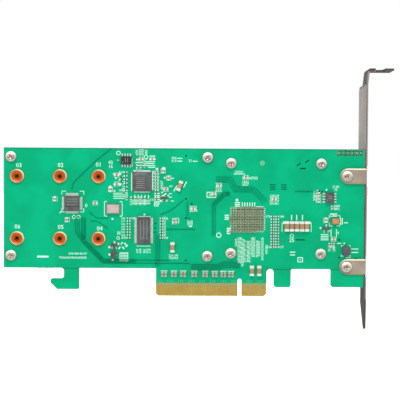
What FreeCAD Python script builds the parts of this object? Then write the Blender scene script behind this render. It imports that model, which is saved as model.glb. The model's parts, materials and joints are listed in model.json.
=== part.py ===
import FreeCAD, Part
import math
import os

# Drive adapter card for a server: a half-length, low-profile board with a gold edge connector, a
# full-height slot bracket, two drive sockets with three standoffs each, and two finned heatsinks.
# Millimetres. The origin is the middle of the key notch, on the lower edge of the contact fingers, in
# the middle of the board's thickness. +X runs along the board to the bracket, +Z up from the fingers,
# and +Y out of the component side. The solder side faces -Y.

Vector = FreeCAD.Vector
SOLDER = -1
COMPONENT = 1

# ---- Driving dimensions: board ----
board_thickness = 1.57
board_height = 68.9           # fingers' lower edge to the top edge
shoulder_height = 12.85       # fingers' lower edge to the long lower edge
left_margin = 6.2             # outermost standoff to the left edge
board_corner_radius = 0.8     # inside corners and the hook
hole_clearance = 0.1          # on the radius of every through hole
overcut = 1.0                 # how far a cutting tool runs past what it cuts

# ---- Edge connector ----
contact_pitch = 1.0
contact_width = 0.7
contact_length = 5.3
contact_thickness = 0.05
contact_inner_margin = 0.55   # key notch to the first contact's middle
long_block_margin = 0.6       # last contact's middle to the end of the long block
short_block_margin = 1.1      # the same at the short block
long_contact_count = 38
short_contact_count = 11
key_notch_width = 1.9
key_notch_depth = 8.2
finger_corner = 1.3
finger_bevel_height = 0.5
finger_bevel_depth = 0.35
contact_lift = 0.05           # top of the bevel to the contacts

# ---- Lower edge beside the connector ----
slot_width = 3.35
guide_width = 8.0
guide_bottom = 4.3
guide_corner_radius = 1.2
corner_width = 15.25
corner_bottom = 4.5
hook_stem_middle = -78.55
hook_stem_width = 7.1
hook_reach = 6.2
hook_bottom = 2.9
hook_arm_top = 7.9
hook_chamfer = 3.0
hook_inner_radius = 1.4

# ---- Slot bracket ----
bracket_thickness = 0.86
bracket_width = 18.42
bracket_face = 59.05          # key notch to the bracket's outer face
bracket_board_gap = 0.05      # board to where the bend of a tab begins
bracket_top = 106.4
bracket_shoulder = 99.4
bracket_shoulder_chamfer = 1.8
bracket_neck_width = 9.8
bracket_neck_fillet = 0.5
bracket_neck_lean = 6.5       # degrees outwards
bracket_flange_reach = 11.85
bracket_bend_radius = 0.3
screw_slot_width = 4.42
screw_slot_depth = 5.6
screw_slot_offset = 5.6       # bracket face to the middle of the screw slot
tongue_width = 10.19
tongue_top = 5.6
tongue_step_fall = 4.1        # fall of the slanted step beside the tongue
tongue_taper_start = -3.6
tongue_tip = -15.0
tongue_tip_width = 2.4
tongue_tip_offset = 0.6
tongue_tip_radius = 0.85
tab_width = 7.2
tab_reach = 12.45             # bracket face to the round end of a tab
tab_relief = 1.2
tab_end_flat = 0.02           # what stays straight at the round end of a tab
tab_fold_spare = 0.3          # end of a fold to where its relief cuts end
upper_tab_inset = 12.5        # top edge of the board to the upper tab's middle
lower_tab_rise = 1.3          # long lower edge to the lower tab's middle
tab_screw_inset = 3.1         # round end of a tab to its screw

# ---- Screws and nuts ----
screw_head_radius = 2.5
screw_head_top_radius = 1.9
screw_head_height = 1.7
bracket_screw_radius = 1.5
bracket_nut_flats = 5.5
bracket_nut_height = 2.4
bracket_screw_protrusion = 0.4
heatsink_screw_radius = 1.25
thread_clearance = 0.04
thread_sides = 12             # a thread is a plain prism in a prism-shaped bore
thread_spare = 0.8            # end of a heatsink screw to the end of its bore

# ---- Drive bays ----
drive_datum = -24.0           # inner end of a drive in its socket
drive_lengths = (80.0, 60.0, 42.0)
drive_row_pitch = 29.0
bay_rise = 0.2                # middle of the board's height to the middle of the drive bays
drive_width = 22.0
drive_board_thickness = 0.8
drive_chip_height = 1.5
standoff_height = 2.45
standoff_flats = 4.0
standoff_foot_radius = 2.85
standoff_foot_top_radius = 2.6
standoff_foot_height = 0.95
standoff_bore_radius = 0.8

# ---- Drive sockets ----
socket_width = 22.4
socket_mouth = 4.0            # drive end to the front of the housing
socket_back = 4.4             # drive end to the back of the housing
socket_height = 4.2
socket_lip_setback = 1.5
socket_slot_width = 20.1
socket_slot_clearance = 0.1
socket_key_offset = 6.1
socket_key_width = 1.0
socket_key_setback = 1.0      # front of the housing to the key
socket_join = 0.2             # how far the key runs into the housing
socket_contact_pitch = 0.5
socket_contact_count = 37
socket_tail_width = 0.22
socket_tail_length = 0.9
socket_tail_thickness = 0.2

# ---- Heatsinks ----
heatsink_margin = 3.0         # screw to the edge of the plate
heatsink_plate_corner = 1.5
heatsink_fin_thickness = 1.1
heatsink_leg_size = 5.2
drive_heatsink_left_inset = 3.5
drive_heatsink_right_offset = 8.8
drive_heatsink_top_inset = 4.2
drive_heatsink_bottom_inset = 5.85
drive_heatsink_plate = 2.0
drive_heatsink_fin_height = 5.5
drive_heatsink_fins = 15
drive_pad_thickness = 1.5
drive_pad_side_margin = 1.5
drive_pad_end_margin = 5.0
controller_x = 16.75
controller_screw_pitch = 42.0
controller_heatsink_plate = 2.5
controller_heatsink_fin_height = 8.0
controller_heatsink_fins = 14
controller_pad_thickness = 0.5
controller_pad_inset = 0.6

# ---- Chips ----
switch_chip_offset = (-13.6, -5.2)
switch_chip_size = 19.0
switch_chip_substrate = 1.0
switch_chip_lid = 1.3
switch_chip_lid_inset = 1.1
switch_chip_bevel = 0.3
lead_thickness = 0.15
lead_foot = 0.55
lead_slope = 0.35
chip_stand = 0.1              # gap under the body of a chip with leads
chip_bevel = 0.25
# A lead is given as its pitch, its width, and the height where it leaves the body.
microcontroller_size = 7.0
microcontroller_height = 1.5
microcontroller_lead_count = 12
microcontroller_lead = (0.5, 0.22, 0.65)
bus_expander_size = (6.1, 12.5)
bus_expander_height = 1.15
bus_expander_lead_count = 24
bus_expander_lead = (0.5, 0.22, 0.5)
eight_lead_length = 4.9
eight_lead_width = 3.9
eight_lead_height = 1.6
eight_lead_side_count = 4
eight_lead = (1.27, 0.42, 0.7)
power_monitor_size = 9.0
power_monitor_height = 0.95
power_monitor_bevel = 0.12
power_monitor_pad_count = 14  # on each side
power_monitor_pad_pitch = 0.55
power_monitor_pad = (0.7, 0.28, 0.1)
power_monitor_pad_reach = 0.25
transistor_size = (2.9, 1.3)
transistor_height = 1.1
transistor_bevel = 0.15
transistor_lead_counts = (2, 1)
transistor_lead = (1.9, 0.4, 0.45)

# ---- Small parts ----
crystal_length = 6.4
crystal_width = 4.7
crystal_base_height = 0.5
crystal_can_height = 1.1
crystal_can_inset = 0.45
crystal_bevel = 0.25
tantalum_size = (3.2, 2.6, 1.8)
diode_size = (2.6, 3.6, 1.6)
block_bevel = 0.3
choke_size = (3.4, 4.0, 1.8)
choke_bevel = 0.4
resistor_size = (1.15, 0.6, 0.4)
decoupling_size = (1.0, 0.55, 0.5)
small_capacitor_size = (1.8, 1.0, 0.8)
large_capacitor_size = (4.4, 1.9, 1.5)
large_capacitor_terminal = 0.9
large_capacitor_relief = 0.12
header_pitch = 2.0
header_pins = 6
header_pin_size = 0.6
header_pin_clearance = 0.1
header_body_depth = 3.2
header_body_height = 2.2
header_pin_height = 6.6
header_pin_tail = 1.1
header_top_inset = 1.75
header_right_inset = 7.1
header_bevel = 0.3
inductor_size = 6.6
inductor_height = 3.1
inductor_corner = 1.0
can_capacitor_radius = 3.15
can_capacitor_height = 5.8
can_capacitor_base = 6.6
can_capacitor_base_height = 0.8
can_capacitor_base_bevel = 0.2
can_capacitor_edge = 0.3

# ---- Derived places ----
half_board = board_thickness / 2
middle_z = (shoulder_height + board_height) / 2
board_left = drive_datum - max(drive_lengths) - left_margin
bracket_inner = bracket_face - bracket_thickness
board_right = bracket_inner - bracket_bend_radius - bracket_board_gap
bracket_near = -(half_board + bracket_thickness)
key_half = key_notch_width / 2
long_block_end = -(key_half + contact_inner_margin + long_block_margin
                   + (long_contact_count - 1) * contact_pitch)
short_block_end = (key_half + contact_inner_margin + short_block_margin
                   + (short_contact_count - 1) * contact_pitch)
guide_left = short_block_end + slot_width
guide_right = guide_left + guide_width
corner_left = board_right - corner_width
upper_tab_z = board_height - upper_tab_inset
lower_tab_z = shoulder_height + lower_tab_rise
tab_heights = (upper_tab_z, lower_tab_z)
tab_screw_x = bracket_face - tab_reach + tab_screw_inset
bay_middle_z = middle_z + bay_rise
drive_rows = (bay_middle_z + drive_row_pitch / 2, bay_middle_z - drive_row_pitch / 2)
drive_screws = [(x, z)
                for x in (board_left + drive_heatsink_left_inset,
                          drive_datum + drive_heatsink_right_offset)
                for z in (board_height - drive_heatsink_top_inset,
                          shoulder_height + drive_heatsink_bottom_inset)]
controller_half_pitch = controller_screw_pitch / 2
controller_screws = [(controller_x + i * controller_half_pitch,
                      bay_middle_z + k * controller_half_pitch)
                     for i in (-1, 1) for k in (1, -1)]
standoff_places = [(drive_datum - length, z) for length in drive_lengths for z in drive_rows]
drive_plate_level = (standoff_height + drive_board_thickness + drive_chip_height
                     + drive_pad_thickness)
switch_chip_x = controller_x + switch_chip_offset[0]
switch_chip_z = middle_z + switch_chip_offset[1]
controller_plate_level = switch_chip_substrate + switch_chip_lid + controller_pad_thickness
header_x = board_right - header_right_inset
header_z = board_height - header_top_inset


# ---- Building blocks ----
def face_y(side, level):
    """The Y of a height above one face of the board."""
    return side * (half_board + level)


def slab(side, x, z, length, width, low, high):
    """A block on one face of the board: length along X, width along Z, between two heights."""
    y_low, y_high = sorted((face_y(side, low), face_y(side, high)))
    return Part.makeBox(length, y_high - y_low, width, Vector(x - length / 2, y_low, z - width / 2))


def disc(side, x, z, radius, low, high):
    """A cylinder that stands on one face of the board, between two heights."""
    return Part.makeCylinder(radius, high - low, Vector(x, face_y(side, low), z), Vector(0, side, 0))


def prism(side, x, z, sides, corner_radius, low, high):
    """A regular prism that stands on one face of the board, between two heights."""
    points = []
    for index in range(sides):
        turn = 2 * math.pi * index / sides
        points.append(Vector(x + corner_radius * math.cos(turn), face_y(side, low),
                             z + corner_radius * math.sin(turn)))
    face = Part.Face(Part.makePolygon(points + points[:1]))
    return face.extrude(Vector(0, side * (high - low), 0))


def hexagon(side, x, z, flats, low, high):
    """A six-sided prism of a given size across its flats."""
    return prism(side, x, z, 6, flats / math.sqrt(3), low, high)


def thread_bore(x, z, radius, high):
    """What a threaded hole on the component side takes away, for a screw of a given radius."""
    return prism(COMPONENT, x, z, thread_sides, radius + thread_clearance, -overcut, high)


def turned(side, x, z, profile):
    """A solid of revolution on one face of the board, from (radius, height) points."""
    points = [Vector(x + radius, face_y(side, level), z) for radius, level in profile]
    face = Part.Face(Part.makePolygon(points + points[:1]))
    return face.revolve(Vector(x, 0, z), Vector(0, 1, 0), 360)


def rounded_wire(corners, place):
    """A closed outline from (a, b, radius) corners, where place(a, b) makes a point in space."""
    edges = []
    ends = []
    count = len(corners)
    for index, (a, b, radius) in enumerate(corners):
        corner = place(a, b)
        before = (place(*corners[index - 1][:2]) - corner).normalize()
        after = (place(*corners[(index + 1) % count][:2]) - corner).normalize()
        if radius == 0:
            ends.append((corner, corner))
            continue
        half_angle = before.getAngle(after) / 2
        run = radius / math.tan(half_angle)
        start = corner + before * run
        finish = corner + after * run
        to_middle = (before + after).normalize() * (radius / math.sin(half_angle) - radius)
        edges.append((index, Part.Arc(start, corner + to_middle, finish).toShape()))
        ends.append((start, finish))
    arcs = dict(edges)
    chain = []
    for index in range(count):
        if index in arcs:
            chain.append(arcs[index])
        start = ends[index][1]
        finish = ends[(index + 1) % count][0]
        if start.distanceToPoint(finish) > 1e-6:
            chain.append(Part.LineSegment(start, finish).toShape())
    return Part.Wire(chain)


def sheet_xz(corners, y_low, y_high):
    """A plate with an outline in X and Z, between two Y values."""
    wire = rounded_wire(corners, lambda x, z: Vector(x, y_low, z))
    return Part.Face(wire).extrude(Vector(0, y_high - y_low, 0))


def cut_corner_plate(left, right, low, high, corner, y_low, thickness):
    """A rectangular plate with its four corners cut off."""
    corners = [(left + corner, low), (right - corner, low), (right, low + corner),
               (right, high - corner), (right - corner, high), (left + corner, high),
               (left, high - corner), (left, low + corner)]
    return sheet_xz([(x, z, 0) for x, z in corners], y_low, y_low + thickness)


def fused(shapes):
    """One solid from shapes that overlap or touch."""
    return shapes[0].multiFuse(shapes[1:]).removeSplitter()


def bevelled_chip(side, x, z, length, width, low, high, bevel):
    """A moulded chip body: a block whose outer edges are bevelled."""
    half_length = length / 2
    half_width = width / 2
    body = slab(side, x, z, length, width, low, high)
    outer = face_y(side, high)
    edges = [edge for edge in body.Edges
             if all(abs(vertex.Point.y - outer) < 1e-6 for vertex in edge.Vertexes)]
    return body.makeChamfer(min(bevel, half_length, half_width), edges)


def gull_wing(side, x, z, along, across, body_half, reach, level, width):
    """One bent chip lead that leaves the body along a direction and ends in a foot on the board."""
    heel = body_half + lead_slope
    profile = [(body_half, level + lead_thickness), (heel, lead_thickness),
               (reach, lead_thickness), (reach, 0), (heel - lead_thickness, 0),
               (body_half, level)]
    start = Vector(x, 0, z) - across * (width / 2)
    points = [start + along * run + Vector(0, face_y(side, height), 0) for run, height in profile]
    face = Part.Face(Part.makePolygon(points + points[:1]))
    return face.extrude(across * width)


def lead_row(side, x, z, along, body_half, count, lead):
    """A row of chip leads on one side of a body whose middle is at (x, z)."""
    pitch, width, level = lead
    across = Vector(along.z, 0, along.x)
    reach = body_half + lead_slope + lead_foot
    first = -(count - 1) * pitch / 2
    leads = []
    for index in range(count):
        shift = across * (first + index * pitch)
        leads.append(gull_wing(side, x + shift.x, z + shift.z, along, across, body_half, reach,
                               level, width))
    return leads


def write(name, solids):
    """One STEP file for one named sub-part."""
    shape = solids[0] if len(solids) == 1 else Part.makeCompound(solids)
    shape.exportStep("parts/" + name + ".step")


LEFT = Vector(-1, 0, 0)
RIGHT = Vector(1, 0, 0)
UP = Vector(0, 0, 1)
DOWN = Vector(0, 0, -1)


# ---- Circuit board ----
def board_outline():
    """The board's corners, from the lower left of the long edge round by the connector."""
    radius = board_corner_radius
    key_radius = key_half
    slot_radius = slot_width / 2
    hook_left = hook_stem_middle - hook_stem_width / 2
    hook_right = hook_stem_middle + hook_stem_width / 2
    hook_tip = hook_left - hook_reach
    return [
        (board_left, board_height, 0),
        (board_left, shoulder_height, 0),
        (hook_left, shoulder_height, hook_inner_radius),
        (hook_left, hook_arm_top, hook_inner_radius),
        (hook_tip, hook_arm_top, radius),
        (hook_tip, hook_bottom + hook_chamfer, 0),
        (hook_tip + hook_chamfer, hook_bottom, 0),
        (hook_right, hook_bottom, radius),
        (hook_right, shoulder_height, 0),
        (long_block_end, shoulder_height, 0),
        (long_block_end, finger_corner, 0),
        (long_block_end + finger_corner, 0, 0),
        (-key_half, 0, 0),
        (-key_half, key_notch_depth, key_radius),
        (key_half, key_notch_depth, key_radius),
        (key_half, 0, 0),
        (short_block_end - finger_corner, 0, 0),
        (short_block_end, finger_corner, 0),
        (short_block_end, shoulder_height, slot_radius),
        (guide_left, shoulder_height, slot_radius),
        (guide_left, guide_bottom, guide_corner_radius),
        (guide_right, guide_bottom, guide_corner_radius),
        (guide_right, shoulder_height, radius),
        (corner_left, shoulder_height, radius),
        (corner_left, corner_bottom, guide_corner_radius),
        (board_right, corner_bottom, 0),
        (board_right, board_height, 0),
    ]


def make_circuit_board():
    board = sheet_xz(board_outline(), -half_board, half_board)
    cuts = []
    for x, z in standoff_places:
        cuts.append((x, z, standoff_flats / math.sqrt(3)))
    for z in tab_heights:
        cuts.append((tab_screw_x, z, bracket_screw_radius))
    for x, z in drive_screws + controller_screws:
        cuts.append((x, z, heatsink_screw_radius))
    tools = [Part.makeCylinder(radius + hole_clearance, board_thickness + 2 * overcut,
                               Vector(x, -half_board - overcut, z), Vector(0, 1, 0))
             for x, z, radius in cuts]
    pin_hole = header_pin_size + header_pin_clearance
    for x in header_pin_places():
        tools.append(slab(SOLDER, x, header_z, pin_hole, pin_hole,
                          -board_thickness - overcut, overcut))
    for side in (SOLDER, COMPONENT):
        skin = side * half_board
        inner = side * (half_board - finger_bevel_depth)
        wedge = [Vector(long_block_end, skin, finger_bevel_height), Vector(long_block_end, skin, 0),
                 Vector(long_block_end, inner, 0)]
        face = Part.Face(Part.makePolygon(wedge + wedge[:1]))
        tools.append(face.extrude(Vector(short_block_end - long_block_end, 0, 0)))
    return board.cut(tools)


def make_edge_contacts(side):
    """The gold contacts of one face, on both sides of the key notch."""
    first = key_half + contact_inner_margin
    low = finger_bevel_height + contact_lift
    places = [-(first + index * contact_pitch) for index in range(long_contact_count)]
    places += [first + index * contact_pitch for index in range(short_contact_count)]
    middle = low + contact_length / 2
    return [slab(side, x, middle, contact_width, contact_length, 0, contact_thickness)
            for x in places]


# ---- Slot bracket ----
def folded_profile(path, thickness, bend_radius):
    """The outline of a folded sheet: a path and its copy one thickness to the path's right."""
    turns = []
    offsets = []
    for index, (a, b) in enumerate(path):
        directions = []
        if index > 0:
            directions.append((a - path[index - 1][0], b - path[index - 1][1]))
        if index < len(path) - 1:
            directions.append((path[index + 1][0] - a, path[index + 1][1] - b))
        normals = []
        for da, db in directions:
            length = math.hypot(da, db)
            normals.append((db / length, -da / length))
        if len(normals) == 1:
            turns.append(0)
            offsets.append((a + normals[0][0] * thickness, b + normals[0][1] * thickness))
            continue
        (na, nb), (ma, mb) = normals
        scale = thickness / (1 + na * ma + nb * mb)
        turns.append(directions[0][0] * directions[1][1] - directions[0][1] * directions[1][0])
        offsets.append((a + (na + ma) * scale, b + (nb + mb) * scale))
    outer = bend_radius + thickness
    near = [(a, b, 0 if turn == 0 else (bend_radius if turn > 0 else outer))
            for (a, b), turn in zip(path, turns)]
    far = [(a, b, 0 if turn == 0 else (outer if turn > 0 else bend_radius))
           for (a, b), turn in zip(offsets, turns)]
    return near + far[::-1]


def make_slot_bracket():
    # The blank, folded: up the plate, along the leaning neck and out along the flange.
    flange_end = bracket_face + bracket_flange_reach
    neck_top = bracket_top - bracket_thickness
    lean = (neck_top - bracket_shoulder) * math.tan(math.radians(bracket_neck_lean))
    path = [(bracket_face, tongue_tip), (bracket_face, bracket_shoulder),
            (bracket_face + lean, neck_top), (flange_end, neck_top)]
    mirrored = [(-a, b) for a, b in path]
    profile = [(-a, b, radius)
               for a, b, radius in folded_profile(mirrored, bracket_thickness, bracket_bend_radius)]
    far = bracket_near + bracket_width
    plate = sheet_xz(profile, bracket_near, far)
    # The shape of the blank across its width.
    neck_far = bracket_near + bracket_neck_width
    tongue_far = bracket_near + tongue_width
    tip_near = bracket_near + tongue_tip_offset
    tip_far = tip_near + tongue_tip_width
    over = bracket_top + overcut
    outline = [
        (bracket_near, over, 0),
        (bracket_near, tongue_taper_start, 0),
        (tip_near, tongue_tip, tongue_tip_radius),
        (tip_far, tongue_tip, tongue_tip_radius),
        (tongue_far, tongue_taper_start, 0),
        (tongue_far, tongue_top, 0),
        (far, tongue_top + tongue_step_fall, 0),
        (far, bracket_shoulder - bracket_shoulder_chamfer, 0),
        (far - bracket_shoulder_chamfer, bracket_shoulder, 0),
        (neck_far, bracket_shoulder, bracket_neck_fillet),
        (neck_far, over, 0),
    ]
    wire = rounded_wire(outline, lambda y, z: Vector(bracket_inner - overcut, y, z))
    blank = Part.Face(wire).extrude(Vector(flange_end - bracket_inner + 2 * overcut, 0, 0))
    plate = plate.common(blank)
    # The open screw slot in the flange.
    slot_x = bracket_face + screw_slot_offset
    slot_radius = screw_slot_width / 2
    slot_corners = [(slot_x - slot_radius, bracket_near - overcut, 0),
                    (slot_x + slot_radius, bracket_near - overcut, 0),
                    (slot_x + slot_radius, bracket_near + screw_slot_depth, slot_radius),
                    (slot_x - slot_radius, bracket_near + screw_slot_depth, slot_radius)]
    wire = rounded_wire(slot_corners, lambda x, y: Vector(x, y, neck_top - overcut))
    plate = plate.cut(Part.Face(wire).extrude(Vector(0, 0, bracket_thickness + 2 * overcut)))
    # The tabs, folded over the solder face, with a relief cut beside each fold.
    inner_radius = bracket_bend_radius
    outer_radius = inner_radius + bracket_thickness
    fold_depth = outer_radius + tab_fold_spare
    pieces = [plate]
    reliefs = []
    holes = []
    for z in tab_heights:
        low = z - tab_width / 2
        reliefs.append(Part.makeBox(bracket_thickness + 2 * overcut, fold_depth + overcut,
                                    tab_width + 2 * tab_relief,
                                    Vector(bracket_inner - overcut, bracket_near - overcut,
                                           low - tab_relief)))
        tab_end = bracket_face - tab_reach
        fold = [(tab_end, bracket_near, 0), (bracket_face, bracket_near, outer_radius),
                (bracket_face, bracket_near + fold_depth, 0),
                (bracket_inner, bracket_near + fold_depth, 0),
                (bracket_inner, -half_board, inner_radius), (tab_end, -half_board, 0)]
        wire = rounded_wire(fold, lambda x, y: Vector(x, y, low))
        tab = Part.Face(wire).extrude(Vector(0, 0, tab_width))
        end_radius = tab_width / 2 - tab_end_flat / 2
        round_end = [(tab_end, low, end_radius), (bracket_face + overcut, low, 0),
                     (bracket_face + overcut, low + tab_width, 0),
                     (tab_end, low + tab_width, end_radius)]
        pieces.append(tab.common(sheet_xz(round_end, bracket_near - overcut,
                                          bracket_near + fold_depth + overcut)))
        holes.append(Part.makeCylinder(bracket_screw_radius + hole_clearance,
                                       bracket_thickness + 2 * overcut,
                                       Vector(tab_screw_x, bracket_near - overcut, z),
                                       Vector(0, 1, 0)))
    pieces[0] = plate.cut(reliefs)
    return fused(pieces).cut(holes)


# ---- Screws, nuts and standoffs ----
def make_screw(x, z, seat, radius, length):
    """A pan-head screw on the solder side; seat is its height over the board."""
    top = seat + screw_head_height
    shank = prism(SOLDER, x, z, thread_sides, radius, seat - length, seat)
    head = turned(SOLDER, x, z, [(0, seat), (screw_head_radius, seat),
                                 (screw_head_top_radius, top), (0, top)])
    return fused([shank, head])


def make_bracket_screws():
    length = bracket_thickness + board_thickness + bracket_nut_height + bracket_screw_protrusion
    return [make_screw(tab_screw_x, z, bracket_thickness, bracket_screw_radius, length)
            for z in tab_heights]


def make_bracket_nuts():
    nuts = []
    for z in tab_heights:
        nut = hexagon(COMPONENT, tab_screw_x, z, bracket_nut_flats, 0, bracket_nut_height)
        nuts.append(nut.cut(thread_bore(tab_screw_x, z, bracket_screw_radius,
                                        bracket_nut_height + overcut)))
    return nuts


def make_heatsink_screws(places, plate_level):
    length = board_thickness + plate_level
    return [make_screw(x, z, 0, heatsink_screw_radius, length) for x, z in places]


def make_drive_standoffs():
    """Riveted standoffs: a round foot on the solder side and a threaded hexagon through the board."""
    bore_end = standoff_foot_height + overcut
    standoffs = []
    for x, z in standoff_places:
        barrel = hexagon(COMPONENT, x, z, standoff_flats, -board_thickness, standoff_height)
        foot = turned(SOLDER, x, z, [(0, 0), (standoff_foot_radius, 0),
                                     (standoff_foot_top_radius, standoff_foot_height),
                                     (0, standoff_foot_height)])
        bore = disc(SOLDER, x, z, standoff_bore_radius,
                    -(board_thickness + standoff_height + overcut), bore_end)
        standoffs.append(fused([barrel, foot]).cut(bore))
    return standoffs


# ---- Drive sockets ----
def make_socket_housing(z):
    front = drive_datum - socket_mouth
    length = socket_mouth + socket_back
    body = slab(COMPONENT, front + length / 2, z, length, socket_width, 0, socket_height)
    slot_low = standoff_height - socket_slot_clearance
    slot_high = standoff_height + drive_board_thickness + socket_slot_clearance
    slot_depth = socket_mouth + socket_slot_clearance
    slot = slab(COMPONENT, front + (slot_depth - overcut) / 2, z, slot_depth + overcut,
                socket_slot_width, slot_low, slot_high)
    lip = slab(COMPONENT, front + (socket_lip_setback - overcut) / 2, z,
               socket_lip_setback + overcut, socket_slot_width, slot_low,
               socket_height + overcut)
    key_length = socket_mouth - socket_key_setback
    key = slab(COMPONENT, drive_datum - key_length / 2, z + socket_key_offset, key_length,
               socket_key_width, slot_low - socket_join, slot_high + socket_join)
    return fused([body.cut([slot, lip]), key.common(body)])


def make_socket_contacts(z):
    """The solder tails behind a socket, apart from those at its key."""
    first = z - (socket_contact_count - 1) * socket_contact_pitch / 2
    tails = []
    for index in range(socket_contact_count):
        place = first + index * socket_contact_pitch
        if abs(place - z - socket_key_offset) < 2 * socket_contact_pitch:
            continue
        back = drive_datum + socket_back + socket_tail_length / 2
        tails.append(slab(COMPONENT, back, place, socket_tail_length, socket_tail_width,
                          0, socket_tail_thickness))
    return tails


# ---- Heatsinks ----
def make_heatsink(places, level, plate, fin_height, fins):
    """A plate on four threaded legs, one over each screw, with fins that run along X."""
    left = min(x for x, z in places) - heatsink_margin
    right = max(x for x, z in places) + heatsink_margin
    low = min(z for x, z in places) - heatsink_margin
    high = max(z for x, z in places) + heatsink_margin
    pieces = [cut_corner_plate(left, right, low, high, heatsink_plate_corner,
                               face_y(COMPONENT, level), plate)]
    for x, z in places:
        pieces.append(slab(COMPONENT, x, z, heatsink_leg_size, heatsink_leg_size, 0, level))
    edge = heatsink_plate_corner + heatsink_fin_thickness / 2
    pitch = (high - low - 2 * edge) / (fins - 1)
    for index in range(fins):
        pieces.append(slab(COMPONENT, (left + right) / 2, low + edge + index * pitch,
                           right - left - 2 * heatsink_plate_corner, heatsink_fin_thickness,
                           level + plate, level + plate + fin_height))
    bores = [thread_bore(x, z, heatsink_screw_radius, level + thread_spare) for x, z in places]
    return fused(pieces).cut(bores)


def make_drive_pads():
    far = drive_datum - max(drive_lengths) + drive_pad_end_margin
    near = drive_datum - socket_mouth - drive_pad_end_margin
    low = drive_plate_level - drive_pad_thickness
    return [slab(COMPONENT, (far + near) / 2, z, near - far, drive_width - 2 * drive_pad_side_margin,
                 low, drive_plate_level) for z in drive_rows]


# ---- Chips: name, place, body, leads ----
def chip_body(x, z, length, width, height):
    """The moulded body of a chip with leads, a little above the board."""
    return bevelled_chip(SOLDER, x, z, length, width, chip_stand, height, chip_bevel)


def quad_chip(x, z, size, height, count, lead):
    """A square chip body and the leads on its four sides."""
    rows = []
    for along in (LEFT, RIGHT, UP, DOWN):
        rows += lead_row(SOLDER, x, z, along, size / 2, count, lead)
    return chip_body(x, z, size, size, height), rows


def dual_chip(x, z, length, width, height, count, lead, rows_up_down):
    """A chip body, length along X, with leads above and below or at the left and right."""
    rows = []
    half = (width if rows_up_down else length) / 2
    for along in ((UP, DOWN) if rows_up_down else (LEFT, RIGHT)):
        rows += lead_row(SOLDER, x, z, along, half, count, lead)
    return chip_body(x, z, length, width, height), rows


def make_power_monitor():
    """A leadless chip on a rim of flush pads: the body stands on the pads' height."""
    x, z = power_monitor
    size = power_monitor_size
    pad_length, pad_width, pad_height = power_monitor_pad
    body = bevelled_chip(SOLDER, x, z, size, size, pad_height, power_monitor_height,
                         power_monitor_bevel)
    pads = []
    reach = (size - pad_length) / 2 + power_monitor_pad_reach
    for shift, _ in row(0, 0, power_monitor_pad_count, power_monitor_pad_pitch):
        for sign in (-1, 1):
            pads.append(slab(SOLDER, x + sign * reach, z + shift, pad_length, pad_width,
                             0, pad_height))
            pads.append(slab(SOLDER, x + shift, z + sign * reach, pad_width, pad_length,
                             0, pad_height))
    return body, pads


def bevelled_block(place, size, bevel):
    """A moulded part without leads, flat on the solder side."""
    length, width, height = size
    return bevelled_chip(SOLDER, *place, length, width, 0, height, bevel)


def chip_part(x, z, size, upright):
    """A small two-ended part on the solder side, lying along X or standing along Z."""
    length, width, height = size
    if upright:
        length, width = width, length
    return slab(SOLDER, x, z, length, width, 0, height)


def column(x, z, count, pitch):
    """Places in a column, centred on z."""
    return [(x, z + (index - (count - 1) / 2) * pitch) for index in range(count)]


def row(x, z, count, pitch):
    """Places in a row, centred on x."""
    return [(x + (index - (count - 1) / 2) * pitch, z) for index in range(count)]


# ---- Places of the small parts, from the drive sockets, the controller and the bracket ----
def near_drives(x, z):
    return (drive_datum + x, middle_z + z)


def near_controller(x, z):
    return (controller_x + x, middle_z + z)


def near_bracket(x, z):
    return (board_right + x, middle_z + z)


def near_lower_tab(x, z):
    return (board_right + x, lower_tab_z + z)


microcontroller = near_drives(-54.3, 2.2)
crystal = near_drives(-35.1, -0.3)
memory_chip = near_drives(-29.1, 22.3)
power_monitor = near_drives(-21.7, 12.4)
bus_expander = near_drives(-20.9, -10.3)
sensor_chip = near_bracket(-16.2, 5.4)
lane_capacitor_offsets = (-35.3, -30.7, -26.4, -21.2, -16.1, -11.6, -7.6, -4.0)
lane_capacitor_spread = 1.5
lane_capacitor_fall = 2.75    # long lower edge down to the lane capacitors

resistor_columns = [
    column(*near_drives(-29.4, 12.6), 6, 1.7),
    column(*near_drives(-14.9, 10.6), 10, 1.45),
    column(*near_drives(-27.9, -9.2), 8, 1.3),
    column(*near_drives(-12.6, -9.2), 8, 1.3),
    column(*near_controller(-1.6, -10.6), 12, 1.3),
    column(*near_controller(0.6, -10.6), 12, 1.3),
    column(*near_bracket(-14.5, 0.9), 2, 1.4),
]
resistor_rows = [
    row(*near_drives(-24.7, 4.6), 5, 2.1),
    row(*near_drives(-22.4, 19.6), 3, 1.8),
    row(*near_bracket(-15.0, -16.5), 3, 1.15),
]
small_capacitors_flat = [
    near_drives(-33.5, 15.4), near_drives(-33.5, 11.3), near_drives(-43.5, 2.3),
    near_drives(-17.0, 22.9), near_drives(-22.2, 22.8), near_drives(-10.6, 8.9),
    near_drives(2.2, -0.2), near_drives(-6.5, -6.2), near_controller(-14.1, 14.6),
    near_controller(-1.0, 4.6), near_controller(-26.5, 10.7), near_controller(-28.9, 6.9),
    near_bracket(-14.1, -13.9),
]
small_capacitors_upright = [
    near_drives(-62.3, 4.2), near_drives(-56.6, -5.5), near_drives(-36.4, 8.8),
    near_drives(-11.9, 17.5), near_drives(-9.4, 14.2), near_bracket(-21.3, 7.0),
    near_bracket(-21.3, 4.2), near_bracket(-17.8, -5.0),
]
tilted_capacitor = near_drives(-4.2, 10.6)
tilted_capacitor_angle = 20
edge_capacitor_places = (5.7, 9.1)
edge_capacitor_fall = 0.85    # long lower edge down to their middle
bulk_capacitor_row = row(*near_controller(9.7, -8.0), 5, 2.35)
edge_capacitors = [(x, shoulder_height - edge_capacitor_fall) for x in edge_capacitor_places]
single_capacitors = [near_drives(-7.4, -18.1)]
tantalum = near_bracket(-13.3, -5.5)
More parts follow.
